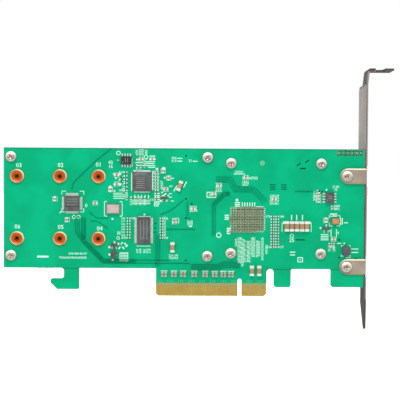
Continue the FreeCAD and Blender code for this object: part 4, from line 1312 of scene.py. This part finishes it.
def mark_leaning_and_lower_parts():
    """The single capacitors and the small transistors under the bus expander."""
    ink.rows(expander, 13.9, -12.2, 1.2, 1.0, run_of_digits(6, 2), run_of_digits(6, 7))
    each(ink.strokes, expander, (1.3, 0.5, 50, (-10.2, -6.1), (-11.3, -8.2), (-7.9, -7.3)),
         (1.3, 0.5, -50, (-8.6, -6.4), (-9.5, -8.2)), (1.5, 0.3, 90, (-12.0, -1.3), (-11.1, -1.3)))
    ink.ring(expander, -11.9, -3.6, 0.75)
    ink.frame(expander, -9.2, -12.4, 1.85, 1.9)
    ink.bars(expander, -9.2, -12.4, 5, 0.7, 3.2, 0.26)


FIELD_LABEL_SIZE = 1.0
FIELD_LABELS = ((-4.9, -8.9, -12.2), (-3.7, -8.2, -20.1), (-2.8, -8.2, -20.1), (-1.85, -8.9, -21.5),
                (-0.95, -8.9, -19.9), (0.5, -9.6, -19.7), (1.4, -9.6, -19.7), (2.6, -7.9, -17.6),
                (3.55, -7.9, -17.4), (4.95, -9.6, -17.4), (5.9, -9.6, -17.0), (7.4, -8.1, -18.9),
                (9.3, -11.6, -15.8))


def mark_field():
    """Round the decoupling capacitors behind the switch chip."""
    for index, (dx, top, foot) in enumerate(FIELD_LABELS):
        count = round((top - foot) / (FIELD_LABEL_SIZE * DIGIT_ADVANCE))
        ink.label(field, dx, (top + foot) / 2, run_of_digits(count, 3 * index), FIELD_LABEL_SIZE)
    each(ink.rows, field, (-3.8, 22.5, 1.2, 0.9, run_of_digits(6, 3)),
         (1.3, 19.6, 1.5, 1.3, run_of_digits(8, 1)), (-0.75, 17.2, 1.3, 1.1, "1842", "3057"),
         (-13.2, 15.2, 1.5, 1.4, "213", "480", "655"),
         (12.8, 9.6, 1.2, 1.0, *(run_of_digits(6, 2 + index) for index in range(4))))
    each(ink.bar, field, (-3.6, 21.5, 5.2), (6.1, 6.2, 3.6, 0.4))
    ink.frame(field, -16.6, 11.7, 2.0, 1.2, 0.3)
    ink.number(field, -16.6, 11.7, "381", 1.3)
    ink.ring(field, -13.0, -7.1, 1.2)
    ink.dot(field, -4.6, 9.3, 0.65)
    each(ink.bars, field, (-4.4, 7.3, 3, 0.8, 2.4, 0.4),
         (0.8, 7.3, 6, FIELD_PITCH, 1.9, 0.35, UPRIGHT), (8.0, 0.6, 11, 0.98, 1.2, 0.35),
         (-9.3, 1.3, 3, 0.9, 1.9, 0.45), (-8.4, -5.1, 4, 0.8, 1.7, 0.45))


def mark_bulk_capacitors():
    """Lines beside and between the bulk capacitors, and what is printed under them."""
    ink.bar(bulk, 0.1, 1.7, 12.8, 1.1)
    each(ink.bars, bulk, (0, -0.4, 2, 13.6, 4.4, 0.25, UPRIGHT),
         (0, -0.6, BULK_COUNT - 1, BULK_PITCH, 3.6, 0.22, UPRIGHT), (-1.8, -12.7, 2, 1.3, 2.4, 0.4))
    ink.strokes(bulk, 2.4, 0.4, 90, (-2.4, 4.1), (0.0, 4.1), (2.7, 4.1))
    ink.ring(bulk, -2.2, -4.4, 0.9)
    each(ink.number, bulk, (-2.2, -6.5, "25", 1.7), (1.8, -15.6, "0", 0.9))
    ink.frame(bulk, 1.8, -15.6, 1.1, 1.0, 0.3)


def mark_right_side():
    """Round the sensor chip, the tantalum capacitor and the choke."""
    each(ink.label, sensor, (-6.9, 0.9, run_of_digits(5, 2), 1.3), (-5.4, 0.9, run_of_digits(6, 2), 1.3))
    each(ink.rows, sensor, (2.9, 4.5, 1.3, 1.1, "2140", "35"), (2.4, -4.5, 1.2, 1.0, "31820", "4061"))
    ink.dot(sensor, -1.4, 3.7, 0.4)
    ink.corners(tantalum, -0.4, 0.2, 2.5, 2.4, 1.4, 0.22)
    each(ink.bars, tantalum, (-0.9, 2.9, 2, 0.9, 3.2, 0.5), (2.8, 0.0, 2, 0.75, 3.1, 0.35, UPRIGHT),
         (-4.6, 0.2, 3, 0.85, 2.0), (-0.75, -5.6, 2, 2.5, 3.7, 0.3, UPRIGHT),
         (-5.0, -7.5, 4, 0.8, 3.6))
    each(ink.bar, tantalum, (4.9, -0.7, 1.8, 0.35), (1.3, -5.4, 0.35, 1.0), (1.8, -10.3, 1.9))
    ink.number(tantalum, -1.2, -12.6, "13", 0.9)
    ink.corners(choke, 0, 0, 2.1, 2.5, 0.9, 0.2)
    ink.dot(choke, -0.8, 3.5, 0.35)
    ink.bar(choke, 1.1, -3.2, 2.2, 0.35)
    ink.bars(choke, 4.1, 0.1, 2, 1.6, 3.4, 0.35)


def covers(part, x, z, margin_x, margin_z):
    """Whether a point lies on a part, or within a margin of it."""
    return (abs(part.middle.x - x) < part.size.x / 2 + margin_x
            and abs(part.middle.z - z) < part.size.z / 2 + margin_z)


def away_from(chips, box):
    """Which way leads from the nearest chip to a box, as signs along X and Z."""
    chip = min(chips, key=lambda body: (body.middle - box.middle).length)
    away = box.middle - chip.middle
    return math.copysign(1, away.x), math.copysign(1, away.z)


CHIP_NODES = ("microcontroller", "power_monitor", "bus_expander", "memory_chip", "sensor_chip",
              "crystal_can")
SMALL_PART_NODES = ("chip_resistors", "small_capacitors", "transistors", "diode", "power_choke")


def number_small_parts():
    """A short number beside each resistor that isn't in a row of them, where there is room for it."""
    chips = [box_of(node) for node in CHIP_NODES]
    parts = [box for node in SMALL_PART_NODES for box in solids_of(node)]
    number = FIRST_NUMBER
    resistors = solids_of("chip_resistors")
    for box in resistors:
        if sum((other.middle - box.middle).length < STACK_PITCH for other in resistors) > 2:
            continue
        flat = box.size.x > box.size.z
        margins = ((LABEL_HALF_LENGTH, LABEL_HALF_HEIGHT) if flat
                   else (LABEL_HALF_HEIGHT, LABEL_HALF_LENGTH))
        sign_x, sign_z = away_from(chips, box)
        for side in (LABEL_REACH, -LABEL_REACH):
            spot = Spot(box, side * sign_x, 0) if flat else Spot(box, 0, side * sign_z)
            if not any(covers(part, spot.x, spot.z, *margins) for part in parts):
                ink.number(spot, 0, 0, number, 1.0, 0 if flat else 90)
                number += NUMBER_STEP
                break


def line_small_capacitors():
    """Lines along both sides of each small capacitor, and one over each lane capacitor."""
    for box in solids_of("small_capacitors"):
        for reach in (-SIDE_LINE_REACH, SIDE_LINE_REACH):
            if box.size.x > box.size.z:
                ink.bar(Spot(box), 0, reach, SIDE_LINE_LENGTH, SIDE_LINE_WIDTH)
            else:
                ink.bar(Spot(box), reach, 0, SIDE_LINE_WIDTH, SIDE_LINE_LENGTH)
    for box in solids_of("lane_capacitors"):
        ink.bar(Spot(box), 0, (box.high.z - box.middle.z) / MM + LANE_LINE_RISE, LANE_LINE_LENGTH)


number_small_parts()
line_small_capacitors()
mark_bays()
mark_left_side()
mark_middle()
mark_leaning_and_lower_parts()
mark_field()
mark_bulk_capacitors()
mark_right_side()
piece("printed_marks", ink.meshes(ink_white))


# ---- Bare tin, plated holes and standoff rims ----
tinned = Marks(SOLDER)


def tin_small_pads():
    """Tinned pads that stand free of any part, and solder that has run past one."""
    each(tinned.dots, monitor,
         (0.62, (-12.9, 3.5), (-10.4, 3.6), (-12.7, -1.3), (-10.3, -1.3), (-14.8, -4.4), (-14.8, -2.5),
          (6.9, 5.9)),
         (0.42, (-12.2, 1.6), (-10.5, 0.9), (-12.9, -4.4), (10.5, 1.9), (9.6, -2.9), (11.6, -3.7),
          (3.7, 10.5), (5.8, 10.5), (-2.4, 12.8), (-2.4, 10.3)),
         (0.8, (10.0, 6.1)))
    tinned.dots(expander, 0.5, (-13.5, -5.9), (-11.8, -6.4), (-16.0, -7.9), (-13.0, -9.8),
                (-15.9, -11.4), (-12.9, -11.8), (-14.4, -13.9))
    tinned.dots(tantalum, 0.42, (-4.2, -1.9), (-6.9, -3.2), (-2.9, -4.4), (-2.0, -11.9), (-0.8, -11.9))


def rim_mesh(inner, outer, height):
    """A low rounded ring on the board, towards -Y."""
    bend = [math.pi * index / 6 for index in range(7)]
    middle, reach = (inner + outer) / 2, (outer - inner) / 2
    profile = [(middle - reach * math.cos(angle), -height * math.sin(angle)) for angle in bend]
    return turned_mesh("rim", RIM_SEGMENTS, *profile, profile[0])


tin_small_pads()
piece("tinned_pads", tinned.meshes(solder))

rim = rim_mesh(foot * RIM_INNER, foot + RIM_REACH, foot_rise + RIM_PROUD)
piece("standoff_rims", [copies(rim, over(standoff_boxes), rim_tin_and_painted_highlight)], RIM_SMOOTH_ANGLE)
# A flat brown ring round the bore on each standoff's foot, as painted shade at the mouth of the hole.
mouth_level = -foot_rise - MOUTH_PROUD
mouth = turned_mesh("mouth", MOUTH_SEGMENTS, (MOUTH_INNER, 0), (MOUTH_INNER, mouth_level),
                    (MOUTH_OUTER, mouth_level), (MOUTH_OUTER, 0), (MOUTH_INNER, 0))
piece("standoff_mouths", [copies(mouth, over(standoff_boxes), mouth_painted_shade)])

# A plated hole under the mask: a low rim round a dimple, of unit radius and height.
via = turned_mesh("via", VIA_SEGMENTS, (0, -0.2), (0.35, -0.25), (0.55, -1.0), (0.8, -1.0),
                  (1.0, 0.0), (0, 0.0))


def via_grid(side, box, columns, rows, taken, finish):
    """Plated holes on an even grid over a box, apart from where a part covers the board."""
    spots = [(box.low.x + box.size.x * (column + 0.5) / columns,
              box.low.z + box.size.z * (row + 0.5) / rows)
             for column in range(columns) for row in range(rows)]
    places = [Place(side, x, z) for x, z in spots
              if not any(covers(part, x, z, VIA_RADIUS, VIA_RADIUS) for part in taken)]
    return copies(via, places, finish, VIA_RADIUS, VIA_HEIGHT, VIA_RADIUS)


flood = Marks(SOLDER)
flood.bar(field, 0.2, 0.3, 15.4, 11.6)
grid = Marks(SOLDER, CONTACT_PROUD)
grid.bars(field, 0.2, 0.3, FIELD_ROWS - 1, FIELD_PITCH, 15.2, 0.3)
grid.bars(field, 0.2, 0.3, FIELD_COLUMNS - 1, FIELD_PITCH, 11.4, 0.22, upright=True)
piece("flooded_field", flood.meshes(flooded) + grid.meshes(flood_gap))
piece("field_vias", [via_grid(SOLDER, field.box, FIELD_COLUMNS, FIELD_ROWS,
                              solids_of("decoupling_capacitors"), field_tin)])

bare = Marks(SOLDER)
bare.dots(field, 0.45, (-28.4, 29.8), (-28.4, 9.7), (-28.4, 0.8), (-28.4, -19.0), (-25.7, 7.5),
          (43.2, -17.3), (51.2, -17.7), (43.3, -9.0))
each(bare.bars, field, (12.0, 15.5, 3, 1.0, 2.6, 0.4), (17.2, 15.5, 3, 1.0, 2.6, 0.4))
bare.dots(expander, 0.4, (5.4, 3.2), (5.4, 1.07), (5.4, -0.83))
bare.dots(monitor, 0.26, (-9.6, 2.1), (-8.7, 2.1), (-9.15, 1.2), (-8.2, 1.2), (-9.6, 0.3), (-8.7, 0.3),
          (-9.15, -0.6), (-8.2, -0.6))
bare.bar(bulk, 1.7, -6.3, 4.2, 0.5)
each(bare.strokes, field, (2.2, 0.5, 35, (24.0, 26.0), (28.0, 27.6)),
     (1.6, 0.5, 50, (33.5, 13.6), (34.8, 13.2)))
bare.bar(field, 26.0, 24.2, 2.6, 0.6)
bare.bars(header, 0, 0, 3, 0.95, 12.2, 0.5)
piece("dark_openings", bare.meshes(tracks))

covered = Marks(SOLDER, CONTACT_PROUD)
for box in solids_of("indicator_header_pins"):
    covered.ring(Spot(box), 0, 0, 0.8)
covered.dot(field, 7.1, 26.6, 1.2)
each(covered.frame, header, (-4.2, 0, 1.7, 1.25, 0.2), (0.9, 0, 1.9, 1.25, 0.2),
     (5.2, 0, 1.3, 1.25, 0.2))
piece("covered_pads", covered.meshes(pale_mask))


# ---- Laser marks on the chips ----
etched = []


def etch(node):
    """New marks for a chip's top, and the spot that they are placed from."""
    box = box_of(node)
    marks = Marks(SOLDER, BOARD_FACE[SOLDER] - box.low.y)
    etched.append(marks)
    return marks, Spot(box)


top, spot = etch("power_monitor")
top.bars(spot, -0.8, 0.2, 7, 0.98, 4.1, 0.28)
top.bar(spot, -0.4, 3.9, 5.0, 0.3)
top.dot(spot, -3.3, 3.3, 0.35)
top, spot = etch("bus_expander")
top.bars(spot, 0.1, 0.4, 3, 1.5, 9.0, 0.3, upright=True)
top.ring(spot, -1.1, -3.6, 0.6)
top, spot = etch("microcontroller")
top.bars(spot, 0.2, 0.7, 3, 1.3, 4.8, 0.28)
top.ring(spot, -2.2, -2.4, 0.5)
top, spot = etch("memory_chip")
top.bars(spot, 0.2, 0.1, 2, 1.0, 1.9, 0.25, upright=True)
top.dot(spot, -1.5, -1.0, 0.25)
top, spot = etch("sensor_chip")
top.bars(spot, 0.2, 0.3, 2, 1.0, 1.9, 0.25)
top.dot(spot, -1.2, -1.1, 0.25)
piece("laser_marks", [mesh for marks in etched for mesh in marks.meshes(chip_ink)])

# ---- Tracks of the solder side ----
routes = Tracks(SOLDER, TRACK_WIDTH)
each(routes.bundle, field,
     (3, 1.08, (-14.6, 18.9), (-7.9, 18.9), (-5.4, 14.3), (2.9, 14.3), (7.5, 9.7), (8.3, 8.2)),
     (3, 0.75, (-7.9, 12.2), (-10.4, 12.2), (-15.4, 7.2), (-15.4, -7.4)),
     (4, 0.85, (-3.0, -20.9), (-10.9, -20.9), (-13.5, -22.2), (-26.0, -22.2)))
each(routes.bundle, controller,
     (4, 0.6, (5.4, -6.6), (5.4, -17.6), (14.8, -27.0), (30.0, -27.0)),
     (3, 0.9, (2.4, -5.9), (2.4, -13.4), (5.4, -17.0)))
routes.bundle(expander, 3, 0.9, (6.6, -2.0), (6.6, -17.0))
each(routes.line, controller, ((30.0, -26.4), (45.6, -26.4)), ((30.0, -27.8), (55.0, -27.8)),
     ((18.5, 25.8), (11.5, 20.2), (2.9, 11.9), (0.6, 9.4), (-0.2, 6.4)),
     ((8.0, -4.1), (11.5, -6.9), (17.0, -6.9)), ((8.6, -8.1), (12.0, -8.4), (16.5, -11.5)))
each(routes.line, monitor, ((8.4, -15.3), (12.5, -13.8), (15.6, -11.7), (19.3, -8.4)),
     ((21.1, -9.2), (21.1, -16.0), (22.6, -18.2)))
routes.line(expander, (10.7, 0.6), (24.0, 0.6))
routes.line(sensor, (-16.0, 2.9), (-4.2, 2.9))
piece("board_tracks", [routes.mesh(tracks)])


# ---- Contacts: thin necks above them and worn copper at their upper ends ----
def contact_details(side, node):
    """A neck above three of each five contacts, and worn copper on three of each seven."""
    necks = Marks(side)
    worn = Marks(side, CONTACT_PROUD)
    lines = Marks(side, CONTACT_PROUD)
    for index, box in enumerate(sorted(solids_of(node), key=lambda box: box.low.x)):
        spot = Spot(box)
        top = (box.high.z - box.middle.z) / MM
        if index % 5 < 3:
            necks.bar(spot, 0, top + NECK_LENGTH / 2, 0.2, NECK_LENGTH)
            lines.bar(spot, 0.25, top - 0.6, 0.2, 1.2)
        if index % 7 in (1, 2, 4):
            worn.bar(spot, 0, top - 0.5, 0.5, 0.9)
    return necks.meshes(pale_mask) + lines.meshes(pale_mask) + worn.meshes(copper)


piece("contact_necks", contact_details(SOLDER, "edge_contacts_solder_side")
      + contact_details(COMPONENT, "edge_contacts_component_side"))

# ---- Component side: marks, tracks and holes where the heatsinks leave the board bare ----
back_ink = Marks(COMPONENT)
back_holes = Marks(COMPONENT)
back_routes = Tracks(COMPONENT, BACK_TRACK_WIDTH)
switch = spot_of("controller_heatsink")
drives = spot_of("drive_heatsink")
can = spot_of("can_capacitor_base")
plug = spot_of("indicator_header")


def outline(spot, margin, arm):
    """Corner marks round a part."""
    back_ink.corners(spot, 0, 0, spot.box.size.x / MM / 2 + margin, spot.box.size.z / MM / 2 + margin,
                     arm, 0.25)


def mark_power_parts():
    """Round the inductors, the can capacitor, the indicator header and the bracket's nuts."""
    for index, box in enumerate(sorted(solids_of("power_inductors"), key=lambda box: box.low.z)):
        spot = Spot(box)
        outline(spot, 0.45, 1.5)
        back_ink.label(spot, -4.9, 0.4, 31 + index, 1.3)
        back_holes.dots(spot, 0.28, (5.1, 1.6), (5.1, 0.0), (5.1, -1.6))
    outline(can, 0.5, 1.8)
    each(back_ink.bar, can, (4.9, 2.2, 1.1, 0.28), (4.9, 2.2, 0.28, 1.1))
    back_ink.label(can, -4.9, 0.4, 47, 1.3)
    back_ink.bar(plug, 0, -1.95, 12.4, 0.25)
    each(back_ink.number, plug, (-5.3, -3.0, 1), (5.3, -3.0, 6))
    for box in solids_of("bracket_nuts"):
        back_ink.ring(Spot(box), 0, 0, 4.3, wide_hoop)


def mark_between_heatsinks():
    """Round the controller's heatsink."""
    outline(switch, 0.5, 3.0)
    each(back_ink.label, switch, (-26.6, 12.0, run_of_digits(7, 4), 1.4),
         (-26.6, -9.0, run_of_digits(5, 1), 1.4))
    each(back_ink.number, switch, (-12.0, 26.2, run_of_digits(9, 3), 1.3),
         (14.0, 26.2, run_of_digits(6, 8), 1.3))
    back_ink.bars(switch, -26.6, 1.0, 4, 0.9, 1.9, 0.3)
    back_holes.dots(switch, 0.3, *((-28.0, 20.0 - 2.2 * index) for index in range(5)))
    back_holes.dots(switch, 0.3, *((27.5 + 1.4 * column, -8.0 + 1.4 * row)
                                   for column in range(3) for row in range(4)))
    each(back_routes.bundle, switch, (4, 0.75, (-23.0, 26.0), (-16.5, 26.0)),
         (3, 0.8, (25.0, 18.0), (28.5, 18.0), (30.8, 15.6), (30.8, 9.0)),
         (3, 0.8, (25.0, -18.5), (29.0, -18.5), (31.0, -20.6), (31.0, -24.0)))


def mark_above_contacts():
    """Paired tracks that climb from the contacts, and the number of each tenth contact."""
    for index, box in enumerate(sorted(solids_of("edge_contacts_component_side"),
                                       key=lambda box: box.low.x)):
        spot = Spot(box)
        if index % 3:
            lean = 1.2 if index % 2 else 0.6
            back_routes.line(spot, (0, 4.4), (0, 6.2), (-lean, 6.2 + lean), (-lean, 14.0))
            back_holes.dot(spot, 0, 4.4, 0.26)
        if index % 10 == 0:
            back_ink.number(spot, 0, 5.6, index + 1, 1.1)
    back_ink.number(drives, -30.0, -29.0, run_of_digits(8, 5), 1.4)
    back_ink.number(drives, 26.0, -30.6, run_of_digits(6, 2), 1.2)


mark_power_parts()
mark_between_heatsinks()
mark_above_contacts()
piece("component_side_marks", back_ink.meshes(ink_white))
piece("component_side_tracks", [back_routes.mesh(tracks)])
piece("component_side_holes", back_holes.meshes(via_tin))

# ---- Stage, light and camera ----
# A card is its middle, half its width and half its height, in metres.
CAMERA_PLACE = Vector((-18.7, -386.0, 55.0)) * MM
CAMERA_TARGET = Vector((-18.7, 0.0, 44.9)) * MM
CAMERA_ROLL = math.radians(0.33)
CAMERA_LENS = 74.4
DARK_CARD = ((-0.02, -0.75, 0.1), 0.55, 0.42)
GLOSS_CARDS = (((-0.1, 0.6, 0.42), 0.7, 0.245), ((-0.1, 0.6, -0.19), 0.7, 0.25))
FLOOR_HALF = 3.0
FLOOR_DROP = 0.5 * MM
WORLD_STRENGTH = 1.0
KEY_PLACE = (-0.12, -0.5, 0.62)
KEY_SIZE = 0.3
KEY_POWER = 4.0
KEY_TARGET = (-0.02, 0, 0.04)
FLOOR_GLOW = 0.5
SQUARE = ((-1, -1), (1, -1), (1, 1), (-1, 1))


def sheet_mesh(name, corners, material):
    """A flat sheet of the stage."""
    mesh = mesh_from(name, lambda shape: shape.faces.new([shape.verts.new(corner)
                                                          for corner in corners]))
    mesh.materials.append(material)
    return mesh


def make_floor():
    """A pale floor under the part, which no glossy surface mirrors."""
    finish = Finish("studio_floor", Specular_IOR_Level=0.1, Roughness=0.8,
                    Emission_Strength=FLOOR_GLOW, Emission_Color=(1, 1, 1, 1))
    finish.feed("Base Color", finish.blend(finish.noise(400), paint(246, 246, 246),
                                           paint(252, 252, 252)))
    level = cad_low.z - FLOOR_DROP
    corners = [(x * FLOOR_HALF, y * FLOOR_HALF, level) for x, y in SQUARE]
    floor = bpy.data.objects.new("floor", sheet_mesh("floor", corners, finish.material))
    floor.visible_glossy = False
    bpy.context.scene.collection.objects.link(floor)


def area_light(name, place, target, size, power):
    """A square lamp that faces a target."""
    data = bpy.data.lights.new(name, "AREA")
    data.shape = "SQUARE"
    data.size = size
    data.energy = power
    lamp = bpy.data.objects.new(name, data)
    lamp.location = place
    lamp.rotation_euler = (Vector(target) - Vector(place)).to_track_quat("-Z", "Y").to_euler()
    bpy.context.scene.collection.objects.link(lamp)


def make_world():
    """Even white light from all sides."""
    world = bpy.data.worlds.new("studio")
    world.use_nodes = True
    world.node_tree.nodes["Background"].inputs["Color"].default_value = (1, 1, 1, 1)
    world.node_tree.nodes["Background"].inputs["Strength"].default_value = WORLD_STRENGTH
    bpy.context.scene.world = world
    bpy.context.scene.view_settings.view_transform = "Standard"


def make_camera():
    """A camera square to the board, a little rolled."""
    data = bpy.data.cameras.new("camera")
    data.lens = CAMERA_LENS
    data.sensor_width = 36.0
    data.clip_start = 0.01
    data.clip_end = 20
    camera = bpy.data.objects.new("camera", data)
    look = (CAMERA_TARGET - CAMERA_PLACE).to_track_quat("-Z", "Y").to_matrix().to_4x4()
    camera.matrix_world = (Matrix.Translation(CAMERA_PLACE) @ look
                           @ Matrix.Rotation(CAMERA_ROLL, 4, "Z"))
    bpy.context.scene.collection.objects.link(camera)
    bpy.context.scene.camera = camera


def make_dark_card(name, card, gloss_only):
    """A dark upright card out of the camera's sight, which the metals mirror."""
    middle, half_width, half_height = card
    corners = [(middle[0] + x * half_width, middle[1], middle[2] + z * half_height)
               for x, z in SQUARE]
    item = bpy.data.objects.new(name, sheet_mesh(name, corners, card_grey))
    item.visible_camera = False
    if gloss_only:
        item.visible_diffuse = False
        item.visible_shadow = False
    bpy.context.scene.collection.objects.link(item)


card_finish = Finish("card_grey", Specular_IOR_Level=0.1, Roughness=0.9)
card_finish.feed("Base Color", card_finish.blend(card_finish.noise(300), paint(150, 148, 146),
                                                 paint(160, 158, 156)))
card_grey = card_finish.material
make_floor()
make_dark_card("dark_card", DARK_CARD, False)
for index, card in enumerate(GLOSS_CARDS):
    make_dark_card(f"gloss_card_{index}", card, True)
make_world()
area_light("key", KEY_PLACE, KEY_TARGET, KEY_SIZE, KEY_POWER)
make_camera()
